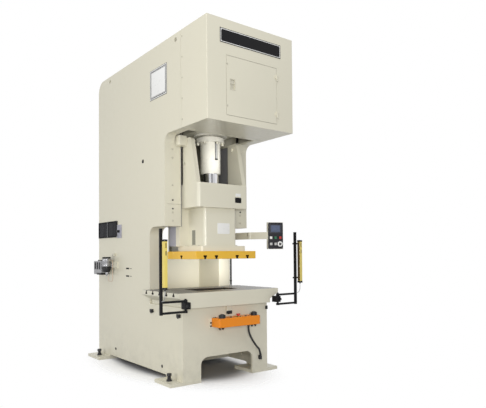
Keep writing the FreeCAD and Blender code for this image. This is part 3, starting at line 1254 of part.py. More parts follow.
# ---- console -------------------------------------------------------------------------------
def build_console():
    """Two-hand console on two brackets, with its collars, buttons and glands."""
    x0, x1 = CONSOLE_X
    body = block(x0, x1, CONSOLE_FRONT, CONSOLE_BACK, CONSOLE_LOW, CONSOLE_HIGH)
    body = rounded(body, CONSOLE_RADIUS, (0, 0, 1))
    body = rounded(body, CONSOLE_RADIUS, (1, 0, 0), lambda p: near(p.z, CONSOLE_HIGH))
    brackets = []
    low_inset, high_inset = CONSOLE_BRACKET_INSETS
    for x in CONSOLE_BRACKETS:
        brackets.append(block(x - CONSOLE_BRACKET_HALF, x + CONSOLE_BRACKET_HALF, CONSOLE_BACK - 1,
                              BED_FRONT, CONSOLE_LOW + low_inset, CONSOLE_HIGH - high_inset))
    pockets = []
    for x in PALM_XS:
        pockets.append(bar(PALM_STEM_R + SEAT_GAP, (x, CONTROL_Y, CONSOLE_HIGH - PALM_POCKET),
                           (x, CONTROL_Y, CONSOLE_HIGH + 1)))
    pockets.append(bar(PALM_STEM_R + SEAT_GAP, (STOP_X, CONTROL_Y, CONSOLE_HIGH - PALM_POCKET),
                       (STOP_X, CONTROL_Y, CONSOLE_HIGH + 1)))
    lamps = []
    for name, x in KEYS:
        pockets.append(bar(KEY_R + SEAT_GAP, (x, CONTROL_Y, CONSOLE_HIGH - KEY_POCKET),
                           (x, CONTROL_Y, CONSOLE_HIGH + 1)))
        placed(name + "_button", bar(KEY_R, (x, CONTROL_Y, CONSOLE_HIGH - KEY_DEEP),
                                     (x, CONTROL_Y, CONSOLE_HIGH + KEY_H)))
    for x in LAMP_XS:
        lamps.append(bar(KEY_R, (x, CONTROL_Y, CONSOLE_HIGH - 1), (x, CONTROL_Y, CONSOLE_HIGH + KEY_H)))
    placed("console", joined(body, brackets + lamps).cut(pockets))
    collars = []
    for side, x in zip(("left", "right"), PALM_XS):
        start = (x, CONTROL_Y, CONSOLE_HIGH)
        end = (x, CONTROL_Y, CONSOLE_HIGH + COLLAR_H)
        collar = ring(COLLAR_R, PALM_R + COLLAR_GAP, start, end)
        window = block(x - PALM_WINDOW_HALF, x + PALM_WINDOW_HALF, CONTROL_Y - COLLAR_R - 1, CONTROL_Y,
                       CONSOLE_HIGH + WINDOW_LOW, CONSOLE_HIGH + COLLAR_H + 1)
        collars.append(collar.cut(window))
        placed(side + "_palm_button", mushroom(x, PALM_R, PALM_RISE, PALM_H))
    collars.append(ring(STOP_BASE_R, PALM_STEM_R + SEAT_GAP, (STOP_X, CONTROL_Y, CONSOLE_HIGH),
                        (STOP_X, CONTROL_Y, CONSOLE_HIGH + STOP_BASE_H)))
    placed("button_collars", group(collars))
    placed("stop_button", mushroom(STOP_X, STOP_R, STOP_BASE_H + PALM_TRAVEL + 1, PALM_H))


def circles_at(shape, z):
    """The circular edges of a turned shape at one height."""
    return [e for e in shape.Edges if isinstance(e.Curve, Part.Circle) and near(e.CenterOfMass.z, z)]


def mushroom(x, radius, rise, height):
    """Push button with a domed cap on a stem that sits in its pocket."""
    low = CONSOLE_HIGH + rise
    stem = bar(PALM_STEM_R, (x, CONTROL_Y, CONSOLE_HIGH - PALM_DEEP), (x, CONTROL_Y, low + 1))
    cap = bar(radius, (x, CONTROL_Y, low), (x, CONTROL_Y, low + height))
    rim = circles_at(cap, low + height)
    cap = cap.makeFillet(height * PALM_DOME, rim)
    return joined(stem, [cap])


def build_glands():
    """Cable glands under the console and the hose fitting on the bed front."""
    pieces = []
    for x in GLAND_XS:
        nut = hexagon(x, GLAND_Y, GLAND_R, CONSOLE_LOW - GLAND_NUT, GLAND_NUT)
        nose = bar(GLAND_NOSE_R, (x, GLAND_Y, CONSOLE_LOW - GLAND_H), (x, GLAND_Y, CONSOLE_LOW - 1))
        pieces.append(joined(nut, [nose]))
    x, y, z = HOSE_ROUTE[-1]
    elbow = block(x - FITTING_HALF, x + FITTING_HALF, y - FITTING_HALF, BED_FRONT,
                  FITTING_LOW, z - FITTING_NECK)
    elbow = rounded(elbow, FITTING_HALF / 3, (0, 0, 1), lambda p: near(p.y, y - FITTING_HALF))
    neck = bar(GLAND_R, (x, y, z - FITTING_NECK - 1), (x, y, z))
    pieces.append(joined(elbow, [neck]))
    placed("glands", group(pieces))


def cord_path(points):
    """Straight runs joined by tangent arcs."""
    corners = [Vector(*point) for point in points]
    edges = []
    start = corners[0]
    for before, corner, after in zip(corners, corners[1:], corners[2:]):
        run_in = before - corner
        run_out = after - corner
        shoulder = HOSE_SHOULDER * min(run_in.Length, run_out.Length)
        a = corner + run_in.normalize() * shoulder
        b = corner + run_out.normalize() * shoulder
        half_turn = (math.pi - run_in.getAngle(run_out)) / 2
        radius = shoulder / math.tan(half_turn)
        inward = (run_in + run_out).normalize()
        centre = corner + inward * (radius / math.cos(half_turn))
        middle = centre - inward * radius
        edges.append(Part.LineSegment(start, a).toShape())
        edges.append(Part.Arc(a, middle, b).toShape())
        print("cord bend radius", round(radius, 1))
        start = b
    edges.append(Part.LineSegment(start, corners[-1]).toShape())
    return Part.Wire(edges)


def cord_tube(points, radius):
    path = cord_path(points)
    run = Vector(*points[1]) - Vector(*points[0])
    section = Part.Wire(Part.makeCircle(radius, Vector(*points[0]), run))
    return path.makePipeShell([section], True, False)


def build_hose():
    """Hose with flat ends, on the gland under the console and on the fitting at the bed."""
    first = Vector(*HOSE_ROUTE[0])
    last = Vector(*HOSE_ROUTE[-1])
    begin = first + (first - Vector(*HOSE_ROUTE[1])).normalize() * HOSE_R
    end = last + (last - Vector(*HOSE_ROUTE[-2])).normalize() * HOSE_R
    tube = cord_tube((tuple(begin),) + HOSE_ROUTE[1:-1] + (tuple(end),), HOSE_R)
    wide = 3 * HOSE_R
    above = block(first.x - wide, first.x + wide, first.y - wide, first.y + wide, first.z, first.z + wide)
    below = block(last.x - wide, last.x + wide, last.y - wide, last.y + wide, last.z - wide, last.z)
    placed("console_hose", tube.cut([above, below]))


# ---- pendant -------------------------------------------------------------------------------
def capsule(a, b, half, z0, z1):
    """A flat-sided link with round ends, between two points in plan."""
    start = Vector(a[0], a[1], z0)
    run = Vector(b[0] - a[0], b[1] - a[1], 0)
    across = Vector(-run.y, run.x, 0).normalize() * half
    corners = [start + across, start + run + across, start + run - across, start - across]
    body = prism([tuple(c) for c in corners], (0, 0, z1 - z0))
    ends = [bar(half, (p[0], p[1], z0), (p[0], p[1], z1)) for p in (a, b)]
    return joined(body, ends)


def pendant_point(s, t, z):
    """A point on the pendant: s along its face, t behind it."""
    yaw = math.radians(PENDANT_YAW)
    x = PENDANT_TIP[0] + s * math.cos(yaw) - t * math.sin(yaw)
    y = PENDANT_TIP[1] + s * math.sin(yaw) + t * math.cos(yaw)
    return (x, y, z)


def pendant_block(s0, s1, t0, t1, z0, z1):
    corners = [pendant_point(s, t, z0) for s, t in ((s0, t0), (s1, t0), (s1, t1), (s0, t1))]
    return prism(corners, (0, 0, z1 - z0))


def build_pendant():
    """Bracket in the throat, two links, the box and its keys."""
    rx, ry = PENDANT_ROOT
    ex, ey = PENDANT_ELBOW
    middle = (LINK_LOW + LINK_HIGH) / 2
    plate = block(rx - LINK_EYE_R * 2, FRAME_HALF - WELD_IN, THROAT_Y - LUG_T / 2, THROAT_Y,
                  LINK_LOW - BRACKET_DROP, LINK_LOW)
    shelf = block(rx - LINK_EYE_R, rx + LINK_HALF, ry, THROAT_Y, LINK_LOW - LUG_T, LINK_LOW)
    knuckle = bar(LINK_EYE_R, (rx, ry, LINK_LOW - LUG_T), (rx, ry, LINK_LOW))
    pin = bar(LINK_PIN_R, (rx, ry, LINK_LOW - 1), (rx, ry, LINK_HIGH + SEAT_GAP))
    head = bar(PIN_HEAD_R, (rx, ry, LINK_HIGH + SEAT_GAP), (rx, ry, LINK_HIGH + PIN_HEAD))
    placed("pendant_bracket", joined(plate, [shelf, knuckle, pin, head]))
    low = LINK_LOW + SEAT_GAP
    link = capsule(PENDANT_ROOT, PENDANT_ELBOW, LINK_HALF, low, LINK_HIGH)
    eye = bar(LINK_EYE_R, (rx, ry, low), (rx, ry, LINK_HIGH))
    eye_low = bar(LINK_EYE_R, (ex, ey, low), (ex, ey, middle))
    clear_high = bar(LINK_EYE_R + EYE_CLEAR, (ex, ey, middle), (ex, ey, LINK_HIGH + 1))
    bore = bar(LINK_PIN_R + FIT, (rx, ry, low - 1), (rx, ry, LINK_HIGH + 1))
    elbow_pin = bar(LINK_PIN_R, (ex, ey, middle - 1), (ex, ey, LINK_HIGH))
    link = joined(link, [eye, eye_low]).cut([bore, clear_high])
    placed("pendant_link", joined(link, [elbow_pin]))
    tip = pendant_point(0, PENDANT_DEPTH / 2, 0)
    arm = capsule(PENDANT_ELBOW, tip[:2], LINK_HALF, low, LINK_HIGH)
    eye_high = bar(LINK_EYE_R, (ex, ey, middle + SEAT_GAP), (ex, ey, LINK_HIGH))
    clear_low = bar(LINK_EYE_R + EYE_CLEAR, (ex, ey, low - 1), (ex, ey, middle + SEAT_GAP))
    elbow_bore = bar(LINK_PIN_R + FIT, (ex, ey, middle), (ex, ey, LINK_HIGH + 1))
    box = pendant_block(0, PENDANT_WIDTH, 0, PENDANT_DEPTH, PENDANT_LOW, PENDANT_HIGH)
    arm = joined(arm, [eye_high]).cut([clear_low, elbow_bore, box])
    placed("pendant_arm", arm)
    box = rounded(box, PENDANT_RADIUS, (0, 0, 1), lambda p: True)
    s0, s1, z0, z1 = SCREEN
    cuts = [pendant_block(s0, s1, -1, SCREEN_DEEP, z0, z1)]
    for name, s in PENDANT_KEYS:
        cuts.append(pendant_bar(s, PENDANT_KEY_Z, PENDANT_KEY_R + SEAT_GAP, -1, KEY_POCKET))
        key = pendant_bar(s, PENDANT_KEY_Z, PENDANT_KEY_R, -KEY_H, KEY_DEEP)
        placed("pendant_" + name + "_button", key)
    lamps = [pendant_bar(s, DIAL_Z, PENDANT_KEY_R, -KEY_H, 1) for s in PENDANT_LAMP_XS]
    cuts.append(pendant_bar(DIAL_X, DIAL_Z, DIAL_STEM_R + FIT, -1, KEY_POCKET))
    placed("pendant_box", joined(box, lamps).cut(cuts))
    dial = pendant_bar(DIAL_X, DIAL_Z, DIAL_R, -DIAL_H, -SEAT_GAP)
    stem = pendant_bar(DIAL_X, DIAL_Z, DIAL_STEM_R, -1, KEY_POCKET - 1)
    grip_reach = DIAL_R - DIAL_GRIP_INSET
    grip = pendant_block(DIAL_X - DIAL_GRIP_HALF, DIAL_X + DIAL_GRIP_HALF, -DIAL_H - DIAL_GRIP_H,
                         -DIAL_H + 1, DIAL_Z - grip_reach, DIAL_Z + grip_reach)
    placed("pendant_dial", joined(dial, [stem, grip]))


def pendant_bar(s, z, radius, t0, t1):
    """A round bar square to the face of the pendant."""
    return bar(radius, pendant_point(s, t0, z), pendant_point(s, t1, z))


# ---- left side and bed fittings ------------------------------------------------------------
def build_side_panel():
    """Framed panel low on the rear of the left side, with a switch box and its lever."""
    y0, y1, z0, z1 = PANEL
    face = -FRAME_HALF
    panel = block(face - PANEL_T, face, y0, y1, z0, z1)
    middle = (y0 + y1) / 2
    for a, b in ((y0, middle - PANEL_RIM / 2), (middle - PANEL_RIM / 2, y1 - PANEL_RIM)):
        panel = panel.cut(block(face - PANEL_T - 1, face - PANEL_T / 3, a + PANEL_RIM, b,
                                z0 + PANEL_RIM, z1 - PANEL_RIM))
    b0, b1, c0, c1 = LATCH_BOX
    box = block(face - LATCH_BOX_T, face, b0, b1, c0, c1)
    box = rounded(box, LATCH_BOX_RADIUS, (1, 0, 0))
    y = (b0 + b1) / 2
    z = (c0 + c1) / 2
    bore = bar(LEVER_R + FIT, (face - LATCH_BOX_T - 1, y, z), (face - LATCH_BOX_T / 2, y, z))
    placed("side_panel", group([panel, box.cut(bore)]))
    hub = bar(LEVER_R, (face - LATCH_BOX_T - LEVER_T, y, z), (face - LATCH_BOX_T / 2 - 1, y, z))
    boss = bar(LEVER_BOSS_R, (face - LATCH_BOX_T - LEVER_T, y, z), (face - LATCH_BOX_T - SEAT_GAP, y, z))
    blade = block(face - LATCH_BOX_T - LEVER_T, face - LATCH_BOX_T - LEVER_GAP,
                  y - LEVER_R / 2, y + LEVER_R / 2,
                  z - LEVER_LENGTH, z)
    placed("switch_lever", joined(hub, [boss, blade]))


def build_air_unit():
    """Filter bowl with its knob, valve block on a plate, and the bent copper pipe."""
    y0, y1, z0, z1 = AIR_PLATE
    face = -FRAME_HALF
    plate = block(face - AIR_PLATE_T, face, y0, y1, z0, z1)
    half, inset = BOWL_ARM
    neck = block(face - AIR_PLATE_T + 1, BOWL_X, BOWL_Y - half, BOWL_Y + half, z0 + inset, z1 - inset)
    plate = joined(plate, [neck.cut(bar(BOWL_R, (BOWL_X, BOWL_Y, z0), (BOWL_X, BOWL_Y, z1)))])
    stem_r = KNOB_R / 2
    shoulder = BOWL_NECK + BOWL_SHOULDER
    stem_high = BOWL_HIGH - KNOB_COVER
    outline = [(0, BOWL_LOW), (BOWL_R / 2, BOWL_LOW)]
    outline += [(BOWL_R * share, BOWL_LOW + rise) for share, rise in BOWL_CURVE]
    outline += [(BOWL_R, BOWL_NECK), (KNOB_R, shoulder), (stem_r, shoulder),
                (stem_r, stem_high), (0, stem_high)]
    wire = Part.makePolygon([Vector(r, 0, z) for r, z in outline + outline[:1]])
    bowl = Part.Face(wire).revolve(Vector(0, 0, 0), Vector(0, 0, 1), 360)
    bowl.translate(Vector(BOWL_X, BOWL_Y, 0))
    placed("filter_bowl", bowl)
    low = shoulder + SEAT_GAP
    knob = bar(KNOB_R, (BOWL_X, BOWL_Y, low), (BOWL_X, BOWL_Y, low + KNOB_H))
    knob = knob.makeChamfer(KNOB_CHAMFER, circles_at(knob, low + KNOB_H))
    knob = knob.cut(bar(stem_r + FIT, (BOWL_X, BOWL_Y, low - 1), (BOWL_X, BOWL_Y, BOWL_HIGH)))
    placed("regulator_knob", knob)
    v0, v1, w0, w1 = VALVE
    valve = block(face - AIR_PLATE_T, VALVE_OUT, v0, v1, w0, w1)
    valve = rounded(valve, VALVE_RADIUS, (0, 1, 0), lambda p: near(p.x, VALVE_OUT))
    placed("valve_block", group([plate, valve]))
    placed("air_pipe", air_pipe())


def air_pipe():
    """Copper pipe from the neck of the filter down and up again to the frame."""
    a, b = PIPE_YS
    top = AIR_PLATE[2] + PIPE_RISE
    out = AIR_PLATE[3] + PIPE_R + PIPE_RISE / 2
    points = ((PIPE_X, BOWL_Y - BOWL_R, top), (PIPE_X, b, top), (PIPE_X, b, PIPE_LOW),
              (PIPE_X, a, PIPE_LOW), (PIPE_X, a, out), (-FRAME_HALF, a, out))
    corners = [Vector(*p) for p in points]
    edges = []
    start = corners[0]
    for before, corner, after in zip(corners, corners[1:], corners[2:]):
        into = (before - corner).normalize()
        out = (after - corner).normalize()
        one = corner + into * PIPE_BEND
        two = corner + out * PIPE_BEND
        diagonal = (into + out).normalize()
        middle = corner + diagonal * (PIPE_BEND * (math.sqrt(2) - 1))
        edges.append(Part.LineSegment(start, one).toShape())
        edges.append(Part.Arc(one, middle, two).toShape())
        start = two
    edges.append(Part.LineSegment(start, corners[-1]).toShape())
    section = Part.Wire(Part.makeCircle(PIPE_R, corners[0], corners[1] - corners[0]))
    return Part.Wire(edges).makePipeShell([section], True, False)


def build_bed_fittings():
    """Small sensors on the bed, the stop block under the bolster and the throat conduit."""
    half_y, half_z = SENSOR_HALF
    pieces = []
    for y, z in SENSORS:
        pieces.append(block(-FRAME_HALF - SENSOR_T, -FRAME_HALF, y - half_y, y + half_y,
                            z - half_z, z + half_z))
    z0, z1 = STOPPER_Z
    x0, x1 = STOPPER_X
    foot = block(x0, x1, BED_FRONT - STOPPER_T, BED_FRONT, z0, z1)
    inset, rise = STOPPER_NOSE
    nose = block(x0 + inset, x1 - inset, BED_FRONT - STOPPER_T * 2, BED_FRONT - STOPPER_T + 1,
                 z0, z0 + rise)
    pieces.append(joined(foot, [nose]))
    wide, low, high = JUNCTION
    pieces.append(block(FRAME_HALF - wide, FRAME_HALF, BED_FRONT - SENSOR_T, BED_FRONT, low, high))
    placed("bed_fittings", group(pieces))
    run = bar(CONDUIT_R, (CONDUIT_X, CONDUIT_Y, BOLSTER_TOP), (CONDUIT_X, CONDUIT_Y, CONDUIT_HIGH))
    clips = []
    ahead, behind = CLIP_YS
    for z in (BOLSTER_TOP + CLIP_END, CONDUIT_HIGH - CLIP_END):
        clips.append(block(FRAME_HALF, CONDUIT_X + CONDUIT_R + CLIP_WALL, CONDUIT_Y - ahead,
                           CONDUIT_Y + behind, z - CLIP_HALF, z + CLIP_HALF))
    placed("throat_conduit", joined(run, clips))


# ---- build ---------------------------------------------------------------------------------
def build_all():
    build_frame()
    build_head_cover()
    build_plates()
    build_door()
    build_frame_bolts()
    build_rear_cover()
    build_bearings()
    build_crankshaft()
    build_connecting_rod()
    build_plunger()
    build_plunger_guide()
    build_drive()
    build_slide()
    build_slide_plate()
    build_slide_fittings()
    build_counterbalance()
    build_gibs()
    build_bolster()
    build_level_bolts()
    build_guards()
    build_console()
    build_glands()
    build_hose()
    build_pendant()
    build_side_panel()
    build_air_unit()
    build_bed_fittings()


def export_all():
    """Shift every piece to the common origin and write it."""
    for name, shape in made.items():
        shape = shape.copy()
        shape.translate(Vector(0, -ORIGIN_Y, 0))
        if not shape.isValid():
            raise ValueError(name + " is not a valid solid")
        shape.exportStep("parts/" + name + ".step")
        print(name, len(shape.Solids), round(shape.Volume / 1e6, 3))


build_all()
export_all()
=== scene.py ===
import math
from itertools import product

import bmesh
import bpy
from mathutils import Matrix, Vector


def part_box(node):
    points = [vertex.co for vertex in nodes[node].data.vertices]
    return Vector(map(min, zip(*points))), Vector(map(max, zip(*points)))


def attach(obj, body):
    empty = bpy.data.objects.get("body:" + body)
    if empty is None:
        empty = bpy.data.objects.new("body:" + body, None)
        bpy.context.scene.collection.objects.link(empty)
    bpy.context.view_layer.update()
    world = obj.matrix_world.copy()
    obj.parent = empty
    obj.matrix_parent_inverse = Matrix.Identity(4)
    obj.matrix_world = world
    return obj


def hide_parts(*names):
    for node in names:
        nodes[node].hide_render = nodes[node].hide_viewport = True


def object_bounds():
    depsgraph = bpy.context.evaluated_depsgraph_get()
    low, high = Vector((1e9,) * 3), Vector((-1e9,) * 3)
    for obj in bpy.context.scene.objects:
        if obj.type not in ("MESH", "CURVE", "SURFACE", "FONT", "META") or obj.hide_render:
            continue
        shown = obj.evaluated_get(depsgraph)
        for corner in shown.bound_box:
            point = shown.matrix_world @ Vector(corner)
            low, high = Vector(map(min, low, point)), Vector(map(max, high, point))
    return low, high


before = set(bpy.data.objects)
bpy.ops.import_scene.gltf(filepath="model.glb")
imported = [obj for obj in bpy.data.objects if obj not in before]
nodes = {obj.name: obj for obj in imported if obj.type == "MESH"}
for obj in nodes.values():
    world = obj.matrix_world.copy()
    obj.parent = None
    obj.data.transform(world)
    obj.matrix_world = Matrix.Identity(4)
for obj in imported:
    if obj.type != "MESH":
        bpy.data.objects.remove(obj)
CAD_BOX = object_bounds()

# ---- camera, as the photograph was taken ---------------------------------------------------
CAMERA_PLACE = Vector((-3.3755, -5.5484, 1.3477))
CAMERA_YAW = math.radians(37.56)      # to the right of +Y
CAMERA_PITCH = math.radians(1.36)
CAMERA_ROLL = math.radians(-0.45)
CAMERA_LENS = 38.875
CAMERA_SENSOR = 36
CAMERA_SHIFT = 0.0779

# ---- colours -------------------------------------------------------------------------------
CREAM = (0.665, 0.638, 0.520)
# the cream tinted by the light on the left side: painted side light
CREAM_LEFT_LIT = (0.672, 0.640, 0.510)
YELLOW = (0.780, 0.455, 0.030)
BAR_YELLOW = (0.700, 0.560, 0.130)
ORANGE = (0.790, 0.245, 0.010)
BLACK = (0.009, 0.009, 0.010)
DUST = (0.42, 0.40, 0.36)
# painted shade in the bolster's T-slots
SLOT_SHADE_DARK = (0.030, 0.026, 0.022)
# painted shade inside the ram plate's T-slots
SLOT_SHADE_BROWN = (0.035, 0.020, 0.008)


# ---- materials -----------------------------------------------------------------------------
def tinted(colour, factor):
    return tuple(min(1.0, max(0.0, part * factor)) for part in colour)


class Shader:
    """A Principled material with short calls for the nodes that this scene uses."""

    def __init__(self, name, colour, rough=0.4, metal=0.0, coat=0.0, specular=0.5):
        self.material = bpy.data.materials.new(name)
        self.material.use_nodes = True
        self.tree = self.material.node_tree
        self.main = self.tree.nodes["Principled BSDF"]
        for socket, value in (("Base Color", (*colour, 1)), ("Roughness", rough), ("Metallic", metal),
                              ("Coat Weight", coat), ("Specular IOR Level", specular)):
            self.main.inputs[socket].default_value = value
        self.place = self.add("ShaderNodeTexCoord").outputs["Object"]

    def add(self, kind, **values):
        node = self.tree.nodes.new(kind)
        for key, value in values.items():
            setattr(node, key, value)
        return node

    def feed(self, node, **values):
        """Set or link a node's inputs; an underscore stands for a space in their names."""
        for key, value in values.items():
            socket = node.inputs[key.replace("_", " ")]
            if isinstance(value, bpy.types.NodeSocket):
                self.tree.links.new(value, socket)
            else:
                socket.default_value = value
        return node

    def join(self, output, target):
        self.tree.links.new(output, target)

    def mapped(self, stretch, shift=(0, 0, 0)):
        node = self.feed(self.add("ShaderNodeMapping"), Scale=stretch, Location=shift, Vector=self.place)
        return node.outputs["Vector"]

    def noise(self, scale, detail=3.0, rough=0.5, stretch=(1, 1, 1)):
        """Noise between 0 and 1, with its features stretched."""
        node = self.feed(self.add("ShaderNodeTexNoise"), Scale=scale, Detail=detail, Roughness=rough,
                         Vector=self.mapped(stretch))
        return node.outputs["Fac"]

    def remap(self, value, low=0.3, high=0.7, out_low=0.0, out_high=1.0):
        node = self.feed(self.add("ShaderNodeMapRange"), From_Min=low, From_Max=high, To_Min=out_low,
                         To_Max=out_high, Value=value)
        return node.outputs["Result"]

    def maths(self, operation, first, second=0.0):
        node = self.add("ShaderNodeMath", operation=operation)
        for socket, value in zip(node.inputs, (first, second)):
            if isinstance(value, (int, float)):
                socket.default_value = value
            else:
                self.join(value, socket)
        return node.outputs["Value"]

    def times(self, first, *others):
        for other in others:
            first = self.maths("MULTIPLY", first, other)
        return first

    def away(self, value, centre):
        """How far a value lies from a centre."""
        return self.maths("ABSOLUTE", self.maths("SUBTRACT", value, centre))

    def mix(self, factor, first, second):
        """Mix of two colours, each a tuple or a socket."""
        node = self.add("ShaderNodeMix", data_type="RGBA")
        self.join(factor, node.inputs["Factor"])
        for socket, value in zip((node.inputs[6], node.inputs[7]), (first, second)):
            if isinstance(value, tuple):
                socket.default_value = (*value, 1)
            else:
                self.join(value, socket)
        return node.outputs[2]

    def colour(self, socket):
        self.join(socket, self.main.inputs["Base Color"])

    def rough(self, value, low, high):
        """Roughness from low to high over the middle of a noise."""
        self.join(self.remap(value, 0.3, 0.7, low, high), self.main.inputs["Roughness"])

    def metallic(self, socket):
        self.join(socket, self.main.inputs["Metallic"])

    def bump(self, height, strength, distance=0.001):
        node = self.feed(self.add("ShaderNodeBump"), Strength=strength, Distance=distance, Height=height)
        self.join(node.outputs["Normal"], self.main.inputs["Normal"])

    def axis_of(self, socket, axis):
        split = self.feed(self.add("ShaderNodeSeparateXYZ"), Vector=socket)
        return split.outputs[axis]

    def position(self, axis):
        return self.axis_of(self.place, axis)

    def facing(self, axis):
        """The surface normal along one axis, from -1 to 1."""
        return self.axis_of(self.add("ShaderNodeNewGeometry").outputs["Normal"], axis)

    def fade(self, oval, near, far):
        """From 0 near a place on the floor to 1 far from it, with a stretch and a shift."""
        length = self.add("ShaderNodeVectorMath", operation="LENGTH")
        self.join(self.mapped(*oval), length.inputs[0])
        node = self.add("ShaderNodeMapRange", interpolation_type="SMOOTHSTEP")
        self.feed(node, From_Min=near, From_Max=far, Value=length.outputs["Value"])
        return node.outputs["Result"]

    def tone(self, colour, low, high, scale=1.3):
        """A colour that changes slowly over the surface."""
        return self.mix(self.remap(self.noise(scale, 2.0)), tinted(colour, low), tinted(colour, high))

    def smudge(self, base, colour, scale, low, high, amount):
        return self.mix(self.remap(self.noise(scale, 6.0, 0.65), low, high, 0.0, amount), base, colour)

    def painted(self, base, rough, patches=24.0, peel=260.0):
        """Close an enamel: its colour, changing gloss and orange peel."""
        self.colour(base)
        self.rough(self.noise(patches, 4.0), rough - 0.05, rough + 0.09)
        self.bump(self.noise(peel, 2.0, 0.5), 0.10, 0.0006)
        return self.material


def enamel(name, colour, rough=0.36, dust=0.0, wear=0.05, specular=0.5, coat=0.12):
    """Sprayed machine enamel: slow tone changes, orange peel, faint dust on what faces up."""
    s = Shader(name, colour, rough, coat=coat, specular=specular)
    base = s.smudge(s.tone(colour, 0.965, 1.02), tinted(colour, 0.86), 9.0, 0.56, 0.78, wear * 3)
    if dust:
        upward = s.remap(s.facing("Z"), 0.5, 1.0, 0.0, dust)
        base = s.mix(s.times(upward, s.remap(s.noise(38.0, 5.0), 0.35, 0.7)), base, DUST)
    return s.painted(base, rough)


def ground_metal(name, colour, rough=0.36, stretch=(1, 18, 18), metal=0.9, stain=0.25):
    """Ground or milled steel with fine lines along one direction and an oily bloom."""
    s = Shader(name, colour, rough, metal)
    lines = s.noise(55.0, 3.0, 0.6, stretch)
    base = s.mix(s.remap(lines), tinted(colour, 0.82), tinted(colour, 1.12))
    bloom = s.remap(s.noise(5.0, 5.0, 0.6), 0.52, 0.75, 0.0, stain)
    s.colour(s.mix(bloom, base, tinted(colour, 0.55)))
    s.rough(lines, rough - 0.07, rough + 0.12)
    s.bump(s.noise(140.0, 3.0, 0.6, stretch), 0.12, 0.0004)
    return s.material


def moulded(name, colour, rough=0.4, grain=420.0, strength=0.12, coat=0.0, specular=0.3):
    """Moulded plastic or rubber with a fine skin."""
    s = Shader(name, colour, rough, coat=coat, specular=specular)
    s.colour(s.mix(s.remap(s.noise(30.0, 3.0)), tinted(colour, 0.85), tinted(colour, 1.18)))
    s.rough(s.noise(60.0, 3.0), rough - 0.05, rough + 0.08)
    s.bump(s.noise(grain, 2.0), strength, 0.0004)
    return s.material


def casting(name, colour, rough=0.5):
    """Painted rough casting."""
    s = Shader(name, colour, rough)
    s.colour(s.mix(s.remap(s.noise(7.0, 5.0)), tinted(colour, 0.85), tinted(colour, 1.12)))
    s.rough(s.noise(30.0, 4.0), rough - 0.08, rough + 0.1)
    s.bump(s.noise(120.0, 6.0, 0.7), 0.35, 0.0012)
    return s.material


def chromed(name):
    """Hard chrome with painted reflections: dark and bright bands along its length."""
    s = Shader(name, (0.60, 0.60, 0.62), 0.10, 1.0)
    # painted reflections: dark and bright bands in the chrome's colour
    reflection_streaks = s.remap(s.noise(16.0, 1.0, 0.4, (1, 1, 0.02)), 0.44, 0.58)
    s.colour(s.mix(reflection_streaks, (0.05, 0.05, 0.055), (0.80, 0.80, 0.82)))
    s.rough(s.noise(12.0, 4.0, 0.5, (6, 6, 0.6)), 0.07, 0.19)
    s.bump(s.noise(300.0, 2.0, 0.5, (1, 1, 0.1)), 0.03, 0.0002)
    return s.material


SLOT_REACH = 0.0212       # half of a ram-plate T-slot, with a little more
RAM_SLOTS = (0.140, 0.285)
RAM_CROSS = -0.570
RAM_HALF = 0.403
RAM_FRONT = -0.870
RAM_LOW = 1.300
RAM_HIGH = 1.340


def slotted_yellow():
    """Yellow ram plate with painted shade inside its T-slots."""
    s = Shader("yellow_paint", YELLOW, 0.34, coat=0.12)
    base = s.smudge(s.tone(YELLOW, 0.965, 1.02), tinted(YELLOW, 0.82), 9.0, 0.56, 0.78, 0.15)
    across = s.maths("ABSOLUTE", s.position("X"))
    nearest = s.maths("MINIMUM", s.away(across, RAM_SLOTS[0]), s.away(across, RAM_SLOTS[1]))
    row = s.times(s.remap(nearest, SLOT_REACH + 0.0002, SLOT_REACH),
                  s.remap(s.position("Y"), RAM_FRONT + 0.0004, RAM_FRONT + 0.0010))
    cross = s.times(s.remap(s.away(s.position("Y"), RAM_CROSS), SLOT_REACH + 0.0002, SLOT_REACH),
                    s.remap(across, RAM_HALF - 0.0004, RAM_HALF - 0.0010))
    # painted shade: the T-slots' inner faces are coloured dark
    inside = s.times(s.maths("MAXIMUM", row, cross),
                     s.remap(s.position("Z"), RAM_LOW + 0.0003, RAM_LOW + 0.0006),
                     s.remap(s.position("Z"), RAM_HIGH + 0.0006, RAM_HIGH + 0.0003))
    return s.painted(s.mix(inside, base, SLOT_SHADE_BROWN), 0.34)


def frame_enamel():
    """The frame's enamel, with painted side light that tints the left-facing faces warmer, and darker
    towards the bottom in patches.
    """
    s = Shader("frame_enamel", CREAM, 0.36, coat=0.12)
    # painted side light: faces turned to the left take the warmer tint
    left_side_light = s.remap(s.facing("X"), -1.0, -0.6, 1.0, 0.0)
    base = s.mix(left_side_light, s.tone(CREAM, 0.97, 1.02, 0.9), CREAM_LEFT_LIT)
    # darker towards the bottom, in patches
    low = s.remap(s.position("Z"), 0.02, 0.5, 0.5, 0.0)
    low_darkening = s.times(low, s.remap(s.noise(6.0, 6.0, 0.7), 0.42, 0.75))
    base = s.mix(low_darkening, base, tinted(CREAM, 0.6))
    return s.painted(s.smudge(base, tinted(CREAM, 0.86), 7.0, 0.58, 0.8, 0.14), 0.36, 20.0, 240.0)


VALVE_PLATE = -0.5774     # front of the plate that carries the valves


